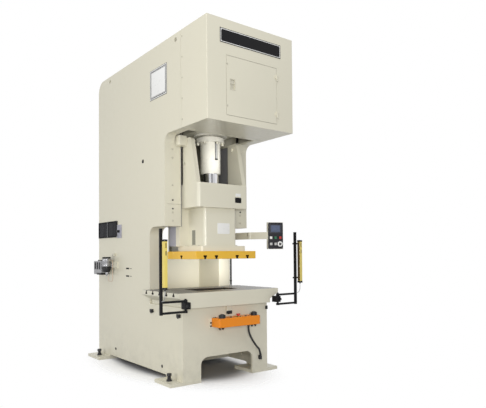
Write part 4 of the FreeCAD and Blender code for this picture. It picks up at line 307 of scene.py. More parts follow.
def valve_finish():
    """Silver valves on a mounting plate in the frame's left-side colour, which carries painted side light.
    """
    s = Shader("valve_silver", (0.30, 0.30, 0.31), 0.34)
    metal = s.mix(s.remap(s.noise(55.0, 3.0, 0.6)), (0.25, 0.25, 0.26), (0.38, 0.38, 0.39))
    plate = s.remap(s.position("X"), VALVE_PLATE - 0.0002, VALVE_PLATE + 0.0002)
    s.colour(s.mix(plate, metal, CREAM_LEFT_LIT))
    s.metallic(s.times(s.maths("SUBTRACT", 1.0, plate), 0.6))
    s.rough(s.noise(24.0, 4.0), 0.30, 0.44)
    s.bump(s.noise(200.0, 3.0), 0.10, 0.0005)
    return s.material


TABLE_HALF = 0.666
TABLE_FRONT = -0.9512
TABLE_TOP = 0.955
TABLE_SLOT_FLOOR = 0.912


def bolster_finish():
    """Painted plate with a ground top, and painted shade within its T-slots."""
    s = Shader("bolster_finish", CREAM, 0.38)
    lines = s.noise(50.0, 3.0, 0.6, (1, 16, 1))
    steel = s.mix(s.remap(lines), (0.20, 0.20, 0.205), (0.34, 0.34, 0.345))
    bloom = s.remap(s.noise(4.0, 5.0, 0.65), 0.5, 0.75, 0.0, 0.5)
    steel = s.mix(bloom, steel, (0.13, 0.12, 0.115))
    upward = s.remap(s.facing("Z"), 0.90, 0.96)
    slots = s.times(s.remap(s.maths("ABSOLUTE", s.position("X")), TABLE_HALF, TABLE_HALF - 0.0005),
                    s.remap(s.position("Y"), TABLE_FRONT, TABLE_FRONT + 0.0006),
                    s.remap(s.position("Z"), TABLE_TOP - 0.0005, TABLE_TOP - 0.0015))
    ground = s.times(s.maths("MAXIMUM", upward, slots),
                     s.remap(s.position("Z"), TABLE_SLOT_FLOOR, TABLE_SLOT_FLOOR + 0.004))
    # painted shade: the T-slots below the top are coloured dark
    table_slot_shade = s.times(ground, s.remap(s.position("Z"), TABLE_TOP - 0.0004, TABLE_TOP - 0.0010))
    s.colour(s.mix(table_slot_shade, s.mix(ground, s.tone(CREAM, 0.95, 1.0), steel), SLOT_SHADE_DARK))
    s.metallic(s.times(s.maths("SUBTRACT", ground, table_slot_shade), 0.85))
    s.rough(lines, 0.34, 0.52)
    s.bump(s.noise(150.0, 2.0, 0.5, (1, 4, 1)), 0.08, 0.0005)
    return s.material


CREAM_PAINT = enamel("cream_enamel", CREAM)
# a lighter copy of the cream for the plunger guide and its collar: painted light under the head
GUIDE_LIT_PAINT = enamel("guide_lit_enamel", (0.74, 0.72, 0.64), 0.27, wear=0.01)
# dark olive for a sheet on the slide's neck: painted shade of a slot
SLOT_SHADE_PAINT = enamel("slot_shade_enamel", (0.235, 0.235, 0.195), 0.5)
BAR_PAINT = enamel("bar_yellow", BAR_YELLOW, 0.32)
BOLT_PAINT = enamel("bolt_enamel", tinted(CREAM, 0.80), 0.42)
# the cream made lighter for the slide, as painted light, with some dust on what faces up
SLIDE_LIT_PAINT = enamel("slide_lit_enamel", tinted(CREAM, 1.07), 0.34, dust=0.2)
ORANGE_PAINT = enamel("orange_enamel", ORANGE, 0.36, specular=0.3, coat=0.05)
BLACK_PAINT = enamel("black_paint", BLACK, 0.48, specular=0.12, coat=0.0)
DARK_PANEL = enamel("dark_panel", (0.006, 0.006, 0.007), 0.55, specular=0.08, coat=0.0)
WHITE_ENAMEL = enamel("white_enamel", (0.82, 0.82, 0.80), 0.3)
FRAME_PAINT = frame_enamel()
YELLOW_PAINT = slotted_yellow()
BOLSTER_PAINT = bolster_finish()
VALVE_SILVER = valve_finish()
CHROME = chromed("chrome")
IRON = casting("grey_iron", (0.20, 0.21, 0.22))
PLAIN_STEEL = ground_metal("plain_steel", (0.42, 0.42, 0.42), 0.34)
GIB_STEEL = ground_metal("gib_steel", (0.27, 0.27, 0.28), 0.45, (14, 14, 1), 0.15)
RAIL_STEEL = ground_metal("rail_steel", (0.40, 0.40, 0.46), 0.40, (14, 14, 1), 0.25)
DARK_STEEL = ground_metal("dark_steel", (0.045, 0.044, 0.045), 0.42, (1, 1, 1), 0.6)
BOLT_STEEL = ground_metal("bolt_steel", (0.10, 0.10, 0.105), 0.42, (1, 1, 1), 0.7)
SILVER = ground_metal("silver", (0.30, 0.30, 0.31), 0.30, (1, 1, 1), 0.75, 0.5)
ZINC = ground_metal("zinc", (0.55, 0.55, 0.54), 0.36, (1, 1, 1), 0.8)
BRONZE = ground_metal("bronze", (0.50, 0.33, 0.15), 0.38, (1, 1, 12), 0.9)
COPPER = ground_metal("copper", (0.48, 0.36, 0.26), 0.40, (1, 1, 6), 0.5)
BLACK_PLASTIC = moulded("black_plastic", (0.011, 0.011, 0.012), 0.42)
BLACK_GLOSS = moulded("black_gloss", (0.012, 0.012, 0.013), 0.18, coat=0.4, strength=0.03)
BLACK_RUBBER = moulded("black_rubber", (0.022, 0.022, 0.022), 0.62)
HOSE_RUBBER = moulded("hose_rubber", (0.018, 0.018, 0.018), 0.55, 300.0, 0.2)
RED_PLASTIC = moulded("red_plastic", (0.46, 0.03, 0.025), 0.25, coat=0.3, strength=0.03)
GREEN_PLASTIC = moulded("green_plastic", (0.025, 0.16, 0.075), 0.25, coat=0.3, strength=0.03)
WHITE_PLASTIC = moulded("white_plastic", (0.78, 0.78, 0.75), 0.3, coat=0.2, strength=0.03)
YELLOW_PLASTIC = moulded("yellow_plastic", (0.85, 0.62, 0.03), 0.3, coat=0.2, strength=0.03)
GREY_PLASTIC = moulded("grey_plastic", (0.30, 0.31, 0.32), 0.42)
LIGHT_GREY = moulded("light_grey", (0.52, 0.52, 0.51), 0.36)
LAVENDER = moulded("lavender_grey", (0.34, 0.34, 0.39), 0.4)
SLATE = moulded("slate_face", (0.040, 0.042, 0.055), 0.3, strength=0.04)
DARK_FACE = moulded("dark_face", (0.020, 0.020, 0.024), 0.40, strength=0.05, specular=0.2)
SMOKE = moulded("smoke_plastic", (0.05, 0.055, 0.06), 0.16, coat=0.5, strength=0.02)
BROWN_GLASS = moulded("brown_glass", (0.060, 0.038, 0.016), 0.2, coat=0.4, strength=0.02)
SCREEN_GLASS = moulded("screen_glass", (0.075, 0.10, 0.175), 0.12, coat=0.5, strength=0.01)
PANEL_MESH = moulded("panel_mesh", (0.006, 0.006, 0.008), 0.45, 160.0, 0.6, specular=0.1)

CAD_FINISH = (
    (FRAME_PAINT, "frame head_cover front_door rear_cover keeper_strips"),
    (CREAM_PAINT, "counterbalance_cylinders pendant_bracket pendant_link pendant_arm pendant_box"),
    (BLACK_PAINT, "bare_plates guard_clamps left_guard_post right_guard_post"),
    (BLACK_PLASTIC, "sight_gauge button_collars glands bed_fittings throat_conduit switch_lever"
                    " regulator_knob"),
    (BLACK_GLOSS, "inch_button left_palm_button right_palm_button pendant_dial"),
    (IRON, "gear_housing motor connecting_rod rod_cap flywheel motor_pulley"),
    (PLAIN_STEEL, "crankshaft wrist_pin adjusting_nut drive_shaft"),
    (CHROME, "plunger counterbalance_rods"), (BAR_PAINT, "left_light_bar right_light_bar"),
    (GREEN_PLASTIC, "start_button pendant_green_button"), (RED_PLASTIC, "stop_button pendant_red_button"),
    (WHITE_PLASTIC, "pendant_white_button"), (GUIDE_LIT_PAINT, "plunger_guide"), (SLIDE_LIT_PAINT, "slide"),
    (YELLOW_PAINT, "slide_plate"), (ORANGE_PAINT, "console"), (BOLSTER_PAINT, "bolster"),
    (GIB_STEEL, "gibs"), (RAIL_STEEL, "guide_rails"), (BRONZE, "crank_bearings"),
    (BLACK_RUBBER, "drive_belts"), (DARK_PANEL, "side_panel"), (SMOKE, "filter_bowl"),
    (VALVE_SILVER, "valve_block"), (COPPER, "air_pipe"),
)


# ---- edges and smooth curves of the CAD solids ---------------------------------------------
SHARP_EDGE = math.radians(32)
EDGE_WIDTH = {"frame": 0.003, "slide": 0.004, "bolster": 0.0025, "slide_plate": 0.003,
              "console": 0.002, "head_cover": 0.0015, "gear_housing": 0.005, "motor": 0.004}
LARGE_EDGE = 0.0015
SMALL_EDGE = 0.0006
LARGE_NODE = 0.15         # diagonal above which a solid gets the larger edge


def soft_shading():
    """Geometry nodes that smooth a surface except at its sharp edges."""
    tree = bpy.data.node_groups.new("soft_shading", "GeometryNodeTree")
    for in_out in ("INPUT", "OUTPUT"):
        tree.interface.new_socket("Geometry", in_out=in_out, socket_type="NodeSocketGeometry")
    start, end, faces, edges, angle, compare = [tree.nodes.new(kind) for kind in (
        "NodeGroupInput", "NodeGroupOutput", "GeometryNodeSetShadeSmooth", "GeometryNodeSetShadeSmooth",
        "GeometryNodeInputMeshEdgeAngle", "FunctionNodeCompare")]
    edges.domain = "EDGE"
    edges.inputs["Shade Smooth"].default_value = False
    compare.data_type = "FLOAT"
    compare.operation = "GREATER_THAN"
    compare.inputs[1].default_value = SHARP_EDGE
    tree.links.new(start.outputs[0], faces.inputs["Geometry"])
    tree.links.new(faces.outputs[0], edges.inputs["Geometry"])
    tree.links.new(angle.outputs["Unsigned Angle"], compare.inputs[0])
    tree.links.new(compare.outputs[0], edges.inputs["Selection"])
    tree.links.new(edges.outputs[0], end.inputs[0])
    return tree


SOFT = soft_shading()


def modify(obj, name, kind, **values):
    modifier = obj.modifiers.new(name, kind)
    for key, value in values.items():
        setattr(modifier, key, value)


def dress(name, material):
    """Give a CAD node its finish, broken edges and smooth curves."""
    obj = nodes[name]
    for slot in obj.material_slots:
        slot.material = material
    if not obj.material_slots:
        obj.data.materials.append(material)
    low, high = (Vector(corner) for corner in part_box(name))
    width = LARGE_EDGE if (high - low).length > LARGE_NODE else SMALL_EDGE
    modify(obj, "weld", "WELD", merge_threshold=0.00002)
    modify(obj, "flat", "DECIMATE", decimate_type="DISSOLVE", angle_limit=math.radians(0.4))
    modify(obj, "edges", "BEVEL", width=EDGE_WIDTH.get(name, width), segments=3, limit_method="ANGLE",
           angle_limit=math.radians(38), use_clamp_overlap=True)
    modify(obj, "soft", "NODES", node_group=SOFT)
    modify(obj, "even", "WEIGHTED_NORMAL", keep_sharp=True, weight=60)


for finish, names in CAD_FINISH:
    for node_name in names.split():
        dress(node_name, finish)


# ---- pieces in millimetres, with Y from the head's front face -----------------------------
MM = 0.001
HEAD_FRONT = 1340
FRONT = (0, -1, 0)
REAR = (0, 1, 0)
LEFT = (-1, 0, 0)
RIGHT = (1, 0, 0)
UP = (0, 0, 1)
DOWN = (0, 0, -1)
SIDES = ((-1, LEFT), (1, RIGHT))
WORDS = ((-1, "left"), (1, "right"))
FULL_TURN = 2 * math.pi
SMOOTH_ANGLE = math.radians(40)
FLAT = 0.2                # bevel of thin plates
SOCKET_SIDES = 24


def at(x, y, z):
    return Vector((x, y - HEAD_FRONT, z)) * MM


def around(count, radius, x, y, start=0.0):
    """Places spaced evenly round a centre; start is a share of one step."""
    for index in range(count):
        angle = FULL_TURN * (index + start) / count
        yield x + radius * math.cos(angle), y + radius * math.sin(angle)


def border(u0, u1, v0, v1, side, low=None, high=None):
    """The bottom, top, left and right strips of a rectangular border."""
    inner_low = v0 + (low or side)
    inner_high = v1 - (high or side)
    return ((u0, u1, v0, inner_low), (u0, u1, inner_high, v1),
            (u0, u0 + side, inner_low, inner_high), (u1 - side, u1, inner_low, inner_high))


def dome(radius, height, steps=5):
    """A rounded head from its rim to its top."""
    rows = [(0, 0), (radius, 0)]
    for index in range(1, steps):
        angle = math.pi / 2 * index / steps
        rows.append((radius * math.cos(angle), height * math.sin(angle)))
    return rows + [(0, height)]


def keep(obj, body, replaced=()):
    """Put a finished piece in the scene, on its body, and hide the parts that it replaces."""
    bpy.context.scene.collection.objects.link(obj)
    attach(obj, body)
    if replaced:
        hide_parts(*replaced)


def tube(name, places, radius, material, body, replaced=(), resolution=8):
    """A round tube along a NURBS line."""
    curve = bpy.data.curves.new(name, "CURVE")
    curve.dimensions = "3D"
    curve.bevel_depth = radius * MM
    curve.bevel_resolution = 5
    curve.resolution_u = resolution
    curve.use_fill_caps = True
    spline = curve.splines.new("NURBS")
    spline.points.add(len(places) - 1)
    for point, place in zip(spline.points, places):
        point.co = (*at(*place), 1.0)
    spline.order_u = 3
    spline.use_endpoint_u = True
    curve.materials.append(material)
    line = bpy.data.objects.new(name, curve)
    keep(line, body, replaced)
    return line


class Piece:
    """One visual piece, gathered from shapes in millimetres."""

    def __init__(self):
        self.bm = bmesh.new()

    def block(self, low, high, bevel, segments):
        """A rounded box between two corners in metres."""
        made = bmesh.ops.create_cube(self.bm, size=1.0)["verts"]
        middle = (low + high) / 2
        size = high - low
        for vert in made:
            vert.co = Vector([part * span for part, span in zip(vert.co, size)]) + middle
        if bevel:
            edges = list({edge for vert in made for edge in vert.link_edges})
            bmesh.ops.bevel(self.bm, geom=edges, offset=bevel * MM, segments=segments, affect="EDGES",
                            profile=0.7)
        return self

    def box(self, low, high, bevel=1.0, segments=2):
        return self.block(at(*low), at(*high), bevel, segments)

    def pendant_box(self, low, high, bevel=1.0, segments=2):
        """A box in the pendant's own directions: along its front, behind it and up."""
        before = set(self.bm.verts)
        self.block(Vector(low) * MM, Vector(high) * MM, bevel, segments)
        turn = Matrix.Rotation(PENDANT_TURN, 3, "Z")
        corner = at(*PENDANT_CORNER, 0)
        for vert in self.bm.verts:
            if vert not in before:
                vert.co = turn @ vert.co + corner
        return self

    def strips(self, places, low, high, bevel=FLAT):
        """Flat strips between two levels of Y, each with its range of X and Z."""
        for x0, x1, z0, z1 in places:
            self.box((x0, low, z0), (x1, high, z1), bevel)
        return self

    def rings(self, rows, place, axis, capped=False):
        """Join rows of (radius, angle, height) about an axis through a place."""
        turn = Vector(UP).rotation_difference(Vector(axis)).to_matrix()
        foot = at(*place)
        rings = [[self.bm.verts.new(turn @ (Vector((r * math.cos(a), r * math.sin(a), h)) * MM) + foot)
                  for r, a, h in row] for row in rows]
        for lower, upper in zip(rings, rings[1:]):
            count = max(len(lower), len(upper))
            for index in range(count):
                after = (index + 1) % count
                corners = list(dict.fromkeys((lower[index % len(lower)], lower[after % len(lower)],
                                              upper[after % len(upper)], upper[index % len(upper)])))
                if len(corners) > 2:
                    self.bm.faces.new(corners)
        if capped:
            self.bm.faces.new(rings[-1])
            self.bm.faces.new(rings[0][::-1])
        bmesh.ops.recalc_face_normals(self.bm, faces=self.bm.faces)
        return self

    def turned(self, profile, place, axis=UP, sides=32):
        """Turn a profile of (radius, height) about an axis through a place."""
        return self.rings([[(r, FULL_TURN * i / sides, h) for i in range(sides if r else 1)]
                           for r, h in profile], place, axis)

    def disc(self, radius, height, place, axis=UP, sides=32, low=0):
        """A plain round pin from one level to another."""
        return self.turned([(0, low), (radius, low), (radius, height), (0, height)], place, axis, sides)

    def hexagon(self, radius, height, place, axis=UP):
        """Hexagonal nut or head with a chamfer."""
        inner = 0.88
        rows = ((radius, 0), (radius, height * inner), (radius * inner, height))
        corners = [[(r, FULL_TURN * i / 6, h) for i in range(6)] for r, h in rows]
        return self.rings(corners, place, axis, True)

    def screw(self, radius, height, place, axis):
        """Round head with a six-sided socket."""
        angles = [FULL_TURN * i / SOCKET_SIDES for i in range(SOCKET_SIDES)]
        rows = [[(r, a, h) for a in angles]
                for r, h in ((radius, 0), (radius, height * 0.86), (radius * 0.9, height))]
        sixth = math.pi / 6
        socket = [(radius * 0.52 * math.cos(sixth) / math.cos(a % (2 * sixth) - sixth), a) for a in angles]
        rows += [[(r, a, h) for r, a in socket] for h in (height, height * 0.4)]
        return self.rings(rows, place, axis, True)

    def washer_bolt(self, radius, height, place, axis):
        """Hexagon head on a washer."""
        self.disc(radius, height * 0.2, place, axis, 28)
        lifted = [p + a * height * 0.2 for p, a in zip(place, axis)]
        return self.hexagon(radius * 0.86, height * 0.8, lifted, axis)

    def gland(self, x, y, z):
        """A cable gland that hangs from a surface."""
        self.hexagon(15, 8, (x, y, z - 8))
        self.turned([(0, 0), (13, 0), (13, 10), (10, 15), (7.5, 16), (0, 16)], (x, y, z - 8), DOWN, 28)
        for u, v in around(12, 13, x, y):
            self.box((u - 1, v - 1, z - 18), (u + 1, v + 1, z - 10), 0.4, 1)
        return self

    def done(self, name, material, body="root", replaced=()):
        """Close the piece with smooth faces and sharp edges."""
        mesh = bpy.data.meshes.new(name)
        for face in self.bm.faces:
            face.smooth = True
        for edge in self.bm.edges:
            if len(edge.link_faces) == 2 and edge.calc_face_angle(0.0) > SMOOTH_ANGLE:
                edge.smooth = False
        self.bm.to_mesh(mesh)
        self.bm.free()
        mesh.materials.append(material)
        keep(bpy.data.objects.new(name, mesh), body, replaced)


# ---- frame, cover and door ------------------------------------------------------------------
SIDE = 565                # outer faces of the side plates
STRIP_X = 467             # middle of the keeper strips
STRIP_FACE = 841
CRANK_Y = 785             # the crank, the guide and the slide share this line
COLLAR_LOW = 2624
COVER_FRONT = -3


def frame_bolts():
    screws, bolts, pins = Piece(), Piece(), Piece()
    for side, axis in SIDES:
        for z in range(2755, 3628, 218):
            screws.screw(9, 4, (side * SIDE, 462, z), axis)
        for z in (1725, 1816, 2117, 2421, 2517):
            bolts.washer_bolt(12, 8, (side * STRIP_X, STRIP_FACE, z), FRONT)
        for z in (1857, 1953):
            pins.screw(9, 8, (side * STRIP_X, STRIP_FACE, z), FRONT)
    for x, y in around(6, 141, 0, CRANK_Y, 0.5):
        bolts.washer_bolt(19, 26, (x, y, COLLAR_LOW), DOWN)
    screws.done("cover_screws", BOLT_PAINT)
    pins.done("strip_pins", DARK_STEEL)
    bolts.done("bolt_heads", BOLT_PAINT, replaced=["frame_bolts"])


def levelling_screws():
    stud = [(0, 0), (30, 0), (30, 8), (19, 10), (19, 38)]
    for z in range(38, 90, 4):
        stud += [(19, z), (17.6, z + 2)]
    levels = Piece()
    for x, y in product((-640, 640), (630, 2480)):
        levels.turned(stud + [(19, 90), (0, 90)], (x, y, 0), UP, 28)
        levels.hexagon(29, 20, (x, y, 36))
        levels.turned([(19, 0), (32, 0), (32, 4), (19, 4)], (x, y, 35), UP, 28)
        levels.hexagon(29, 24, (x, y, 89))
    levels.done("levelling_screws", DARK_STEEL, replaced=["levelling_bolts"])


def bare_plates():
    """Borders and rivets of the bare plates, plugs in the side holes, and two service marks."""
    nameplate = border(-401, 382, 3463, 3595, 6)
    Piece().strips(nameplate, COVER_FRONT - 0.5, COVER_FRONT).done("nameplate_border", WHITE_ENAMEL)
    rivets = Piece()
    for x, z in product((-390, 371), (3474, 3584)):
        rivets.turned(dome(4.5, 2.0), (x, COVER_FRONT, z), FRONT, 20)
    for y, z in product((797, 1158), (3119, 3435)):
        rivets.turned(dome(3.5, 1.6), (-567, y, z), LEFT, 20)
    rivets.done("plate_rivets", ZINC)
    plugs = Piece()
    for side, axis in SIDES:
        for r, y, z in ((23, 1359, 2445), (18, 917, 130), (18, 2128, 155)):
            plugs.turned([(0, 0), (r, 0), (r, 1), (r - 2, 2), (0, 2)], (side * SIDE, y, z), axis)
    plugs.done("column_plugs", BLACK_PAINT)
    marks = Piece()
    for z in (1092, 1185):
        marks.box((-566, 1736, z - 9), (-565, 1822, z + 9), FLAT)
        marks.box((-566, 1664, z - 3), (-565, 1716, z + 3), FLAT)
    marks.done("service_plates", BLACK_PAINT)
    y0, y1, z0, z1 = 790, 1165, 3112, 3442
    Piece().box((-568, y0, z0), (-567, y1, z1), 0.3).done("side_plate_face", WHITE_ENAMEL)
    lines = Piece()
    for inset, width in ((10, 9), (25, 3)):
        for a, b, low, high in border(y0 + inset, y1 - inset, z0 + inset, z1 - inset, width):
            lines.box((-568.5, a, low), (-567.9, b, high), 0.1)
    lines.done("side_plate_border", BLACK_PAINT)


def door_details():
    pull = Piece().strips(border(-288, -222, 2998, 3112, 5), -2, 0)
    pull.box((-279, 12, 3004), (-231, 20, 3106), 2).box((-279, 4, 3060), (-231, 18, 3100), 4)
    pull.done("door_pull", BOLT_PAINT, "door")
    latch, pins, seam = Piece(), Piece(), Piece()
    for z in (2835, 3256):
        latch.turned([(0, 0), (11, 0), (11, 1.5), (9.5, 3), (0, 3)], (-321, 0, z), FRONT, 28)
        latch.box((-322.5, -4, z - 7), (-319.5, -2.5, z + 7), 0.3)
    latch.done("door_latches", BOLT_PAINT, "door")
    for z, (low, high) in product((2840, 3240), ((-37, -35), (35, 37))):
        pins.disc(4.5, high, (332.5, -6.3, z), UP, 20, low)
    pins.done("hinge_pins", ZINC)
    for z in (2737, 3343):
        seam.box((-334, -0.6, z - 1), (334, 0.2, z + 1), FLAT)
    seam.done("door_seal", BOLT_PAINT)


def rear_details():
    screws, louvres, slots = Piece(), Piece(), Piece()
    places = [*product((-450, 450), (2110, 2440, 2775, 3110, 3440)), *product((-225, 0, 225), (2100, 3450))]
    for x, z in places:
        screws.screw(8, 3.6, (x, 2676, z), REAR)
    screws.done("rear_cover_screws", BOLT_STEEL)
    for z, x in product(range(2560, 2900, 34), (-180, 180)):
        louvres.box((x - 110, 2674, z), (x + 110, 2679, z + 14), 2.2, 3)
        # black strips in the louvre openings: painted shade
        slots.box((x - 106, 2675.5, z - 2.5), (x + 106, 2676.8, z + 1), 0.3)
    louvres.done("rear_louvres", CREAM_PAINT)
    slots.done("louvre_slot_shade", BLACK_PAINT)


# ---- crank drive and slide ------------------------------------------------------------------
CYLINDER_X = 385          # counterbalance cylinders and rods
SLIDE_FRONT = 520


def drive_details():
    rod = Piece()
    for x in (-84, 84):
        rod.disc(13, 4, (x, CRANK_Y, 3296), UP, 24).hexagon(19, 14, (x, CRANK_Y, 3299.5))
    rod.done("rod_bolt_heads", BOLT_STEEL, "conrod")
    Piece().turned([(115.2, 0), (158, 0), (162, 4), (162, 46), (115.2, 46), (115.2, 0)],
                   (0, CRANK_Y, COLLAR_LOW), UP, 64).done("guide_collar", GUIDE_LIT_PAINT)
    gauge = Piece().strips(border(-13, 13, 2424, 2616, 4), 663.4, 669.4)
    for z in (2418, 2606):
        gauge.box((-15, 656, z), (15, 671, z + 16), 2)
    gauge.done("gauge_body", BLACK_PLASTIC, replaced=["sight_gauge"])
    Piece().box((-9, 666, 2426), (9, 671, 2614)).done("gauge_tube", LIGHT_GREY)
    tubes = Piece()
    for side in (-1, 1):
        tubes.turned([(0, 0), (60, 0), (60, 3), (57, 6), (57, 32), (54, 34), (54, 476), (57, 478),
                      (60, 482), (60, 507), (56, 510), (0, 510)],
                     (side * CYLINDER_X, CRANK_Y, 2990), UP, 48)
        for x, y in around(4, 50, side * CYLINDER_X, CRANK_Y, 0.5):
            tubes.hexagon(6, 5, (x, y, 3499))
    tubes.done("cylinder_tubes", CREAM_PAINT, replaced=["counterbalance_cylinders"])


def slide_details():
    Piece().box((-48, 581.2, 1578), (118, 583, 1698), 0.4).done("slide_plate_face", WHITE_ENAMEL, "ram")
    Piece().box((152, SLIDE_FRONT - 1.6, 1928), (240, SLIDE_FRONT, 1988), 0.4).done(
        "small_plate", BLACK_PAINT, "ram")
    Piece().box((160, SLIDE_FRONT - 1.4, 2000), (232, SLIDE_FRONT, 2034), 0.4).done(
        "small_label", WHITE_ENAMEL, "ram")
    rivets, bolts, nuts = Piece(), Piece(), Piece()
    for x, z in product((-41, 111), (1585, 1691)):
        rivets.turned(dome(3, 1.4), (x, 581.2, z), FRONT, 18)
    for x, z in product((158, 234), (1934, 1982)):
        rivets.turned(dome(2.4, 1.2), (x, SLIDE_FRONT - 1.6, z), FRONT, 18)
    rivets.done("slide_rivets", ZINC, "ram")
    for x, y in product((-256, 256), (640, CRANK_Y, 930)):
        bolts.screw(11, 9, (x, y, 1443), UP)
    bolts.done("slide_flange_bolts", BOLT_PAINT, "ram")
    # painted shade: a dark sheet on the neck's left face stands for a slot's shade
    Piece().box((-215.8, 776, 1459), (-214.6, 844, 1623), 0.3).done("neck_slot_shade", SLOT_SHADE_PAINT, "ram")
    for x in (-CYLINDER_X, CYLINDER_X):
        nuts.hexagon(20, 14, (x, CRANK_Y, 2662))
        nuts.turned([(19.2, 0), (26, 0), (26, 3), (19.2, 3)], (x, CRANK_Y, 2661), UP, 28)
    nuts.done("lug_nuts", ZINC, "ram")


# ---- light guards -----------------------------------------------------------------------------
POST_X = 893
POST_Y = 335
PIVOT_X = 615
ARM_ZS = (775, 882)
BAR_HALF = 18
BAR_Y = 256
BAR_LOW = 1032
BAR_TOPS = {"left": 1492, "right": 1504}
BAR_FRONT = 232
BEAMS = 16
CLAMP_FRONT = 305
CLAMP_Z = 833


def guard_post(side, word):
    """Square tube post with two arms, their eyes on the pivot, and the light-bar brackets."""
    x = side * POST_X
    pivot = side * PIVOT_X
    post = Piece()
    post.box((x - 13, POST_Y - 12, 758), (x + 13, POST_Y + 14, 1602), 2)
    post.box((x - 14, POST_Y - 13, 1600), (x + 14, POST_Y + 15, 1605), 1.5)
    near, far = sorted((x, pivot + side * 14))
    for z in ARM_ZS:
        post.box((near, POST_Y - 10, z - 11), (far, POST_Y + 10, z + 11), 2)
        post.turned([(12.2, -12), (18.5, -12), (20, -10), (20, 10), (18.5, 12), (12.2, 12), (12.2, -12)],
                    (pivot, POST_Y, z), UP, 36)
    near, far = sorted((x - side * 52, x + side * 22))
    for z in (1070, BAR_TOPS[word] - 36):
        post.box((near, 313, z - 9), (far, 325, z + 9), 1.5)
        post.box((x - 9, 277, z - 7), (x + 9, 314, z + 7), 1.5)
        post.screw(5, 4, (x - side * 36, 313, z), FRONT)
    post.done(word + "_post", BLACK_PAINT, word + "_guard", replaced=[word + "_guard_post"])


def light_bar(side, word):
    """Grooved yellow housing, black end caps, dark beam window and a thin cable."""
    x = side * POST_X
    body = word + "_guard"
    inner = x - side * BAR_HALF
    top = BAR_TOPS[word]
    housing = Piece().box((x - BAR_HALF, 234, BAR_LOW), (x + BAR_HALF, 278, top - 14), 3, 3)
    for y in (BAR_Y - 12, BAR_Y + 12):
        housing.box((x - 18.6, y - 2.5, BAR_LOW + 4), (x + 18.6, y + 2.5, top - 18), 0.3)
    housing.done(word + "_housing", BAR_PAINT, body, replaced=[word + "_light_bar"])
    caps = Piece()
    for low, high in ((BAR_LOW - 20, BAR_LOW + 1), (top - 15, top + 4)):
        caps.box((x - 20, BAR_FRONT, low), (x + 20, 280, high), 3, 3)
    for dx in (-11, 0, 11):
        caps.turned([(0, 0), (5.5, 0), (5.5, 4), (3, 6), (0, 6)], (x + dx, BAR_Y, top), UP, 20)
    caps.turned([(0, 0), (7, 0), (7, 10), (4.5, 12), (0, 12)], (x, BAR_Y, 1013), DOWN, 24)
    caps.done(word + "_bar_caps", BLACK_PAINT, body)
    window = Piece().box((inner - 1, 237, BAR_LOW + 4), (inner + 1, 275, top - 18), 0.4)
    for low, high in ((78, 30), (150, 108)):
        window.box((x - 4, 233.2, top - low), (x + 6, 234.4, top - high), 0.4)
    window.done(word + "_bar_window", BROWN_GLASS, body)
    beams = Piece()
    for index in range(BEAMS):
        beams.turned([(0, 0), (4.2, 0), (4.2, 0.5), (3, 0.9), (0, 0.9)],
                     (inner - side, BAR_Y, 1056 + index * (top - 1100) / (BEAMS - 1)), (-side, 0, 0), 16)
    beams.done(word + "_bar_beams", BLACK_GLOSS, body)
    screws = Piece()
    for z, dx in product((1022, top - 5), (-13, 13)):
        screws.screw(3.2, 1.6, (x + dx, BAR_FRONT, z), FRONT)
    screws.done(word + "_bar_screws", ZINC, body)
    route = ((BAR_Y, 1004), (BAR_Y, 955), (264, 918), (290, 896), (316, 893), (330, 893))
    tube(word + "_bar_cable", [(x, y, z) for y, z in route], 3, GREY_PLASTIC, body)


def clamp_details():
    """The clamps, with the star knob and two cap screws on the front of each."""
    knobs, blocks = Piece(), Piece()
    for side in (-1, 1):
        x = side * 622
        knobs.turned([(0, 0), (5, 0), (5, 5), (12, 6), (13, 8), (13, 13), (11, 15), (0, 15.5)],
                     (x, CLAMP_FRONT, CLAMP_Z), FRONT)
        for u, z in around(6, 12, x, CLAMP_Z):
            knobs.turned([(0, 6), (4, 6), (4.4, 7), (4.4, 12), (3.4, 14), (0, 14)],
                         (u, CLAMP_FRONT, z), FRONT, 16)
        for z in (CLAMP_Z - 21, CLAMP_Z + 21):
            knobs.screw(4.5, 4, (side * 584, CLAMP_FRONT, z), FRONT)
        near, far = sorted((side * 572, side * 634))
        blocks.box((near, CLAMP_FRONT, 800), (far, 388, 868), 3, 3)
        blocks.turned([(0, 0), (10, 0), (11.6, 2), (11.6, 141), (10, 143), (0, 143)],
                      (side * PIVOT_X, POST_Y, 762), UP, 36)
    knobs.done("clamp_knobs", BLACK_PLASTIC)
    blocks.done("clamp_blocks", BLACK_PAINT, replaced=["guard_clamps"])


# ---- console ----------------------------------------------------------------------------------
CONSOLE_TOP = 672
CONSOLE_FRONT = 310
CONTROL_Y = 352
PALMS = ((-155, "left"), (275, "right"))
BED_BRACKET_Y = 466
BED_FACE = 473


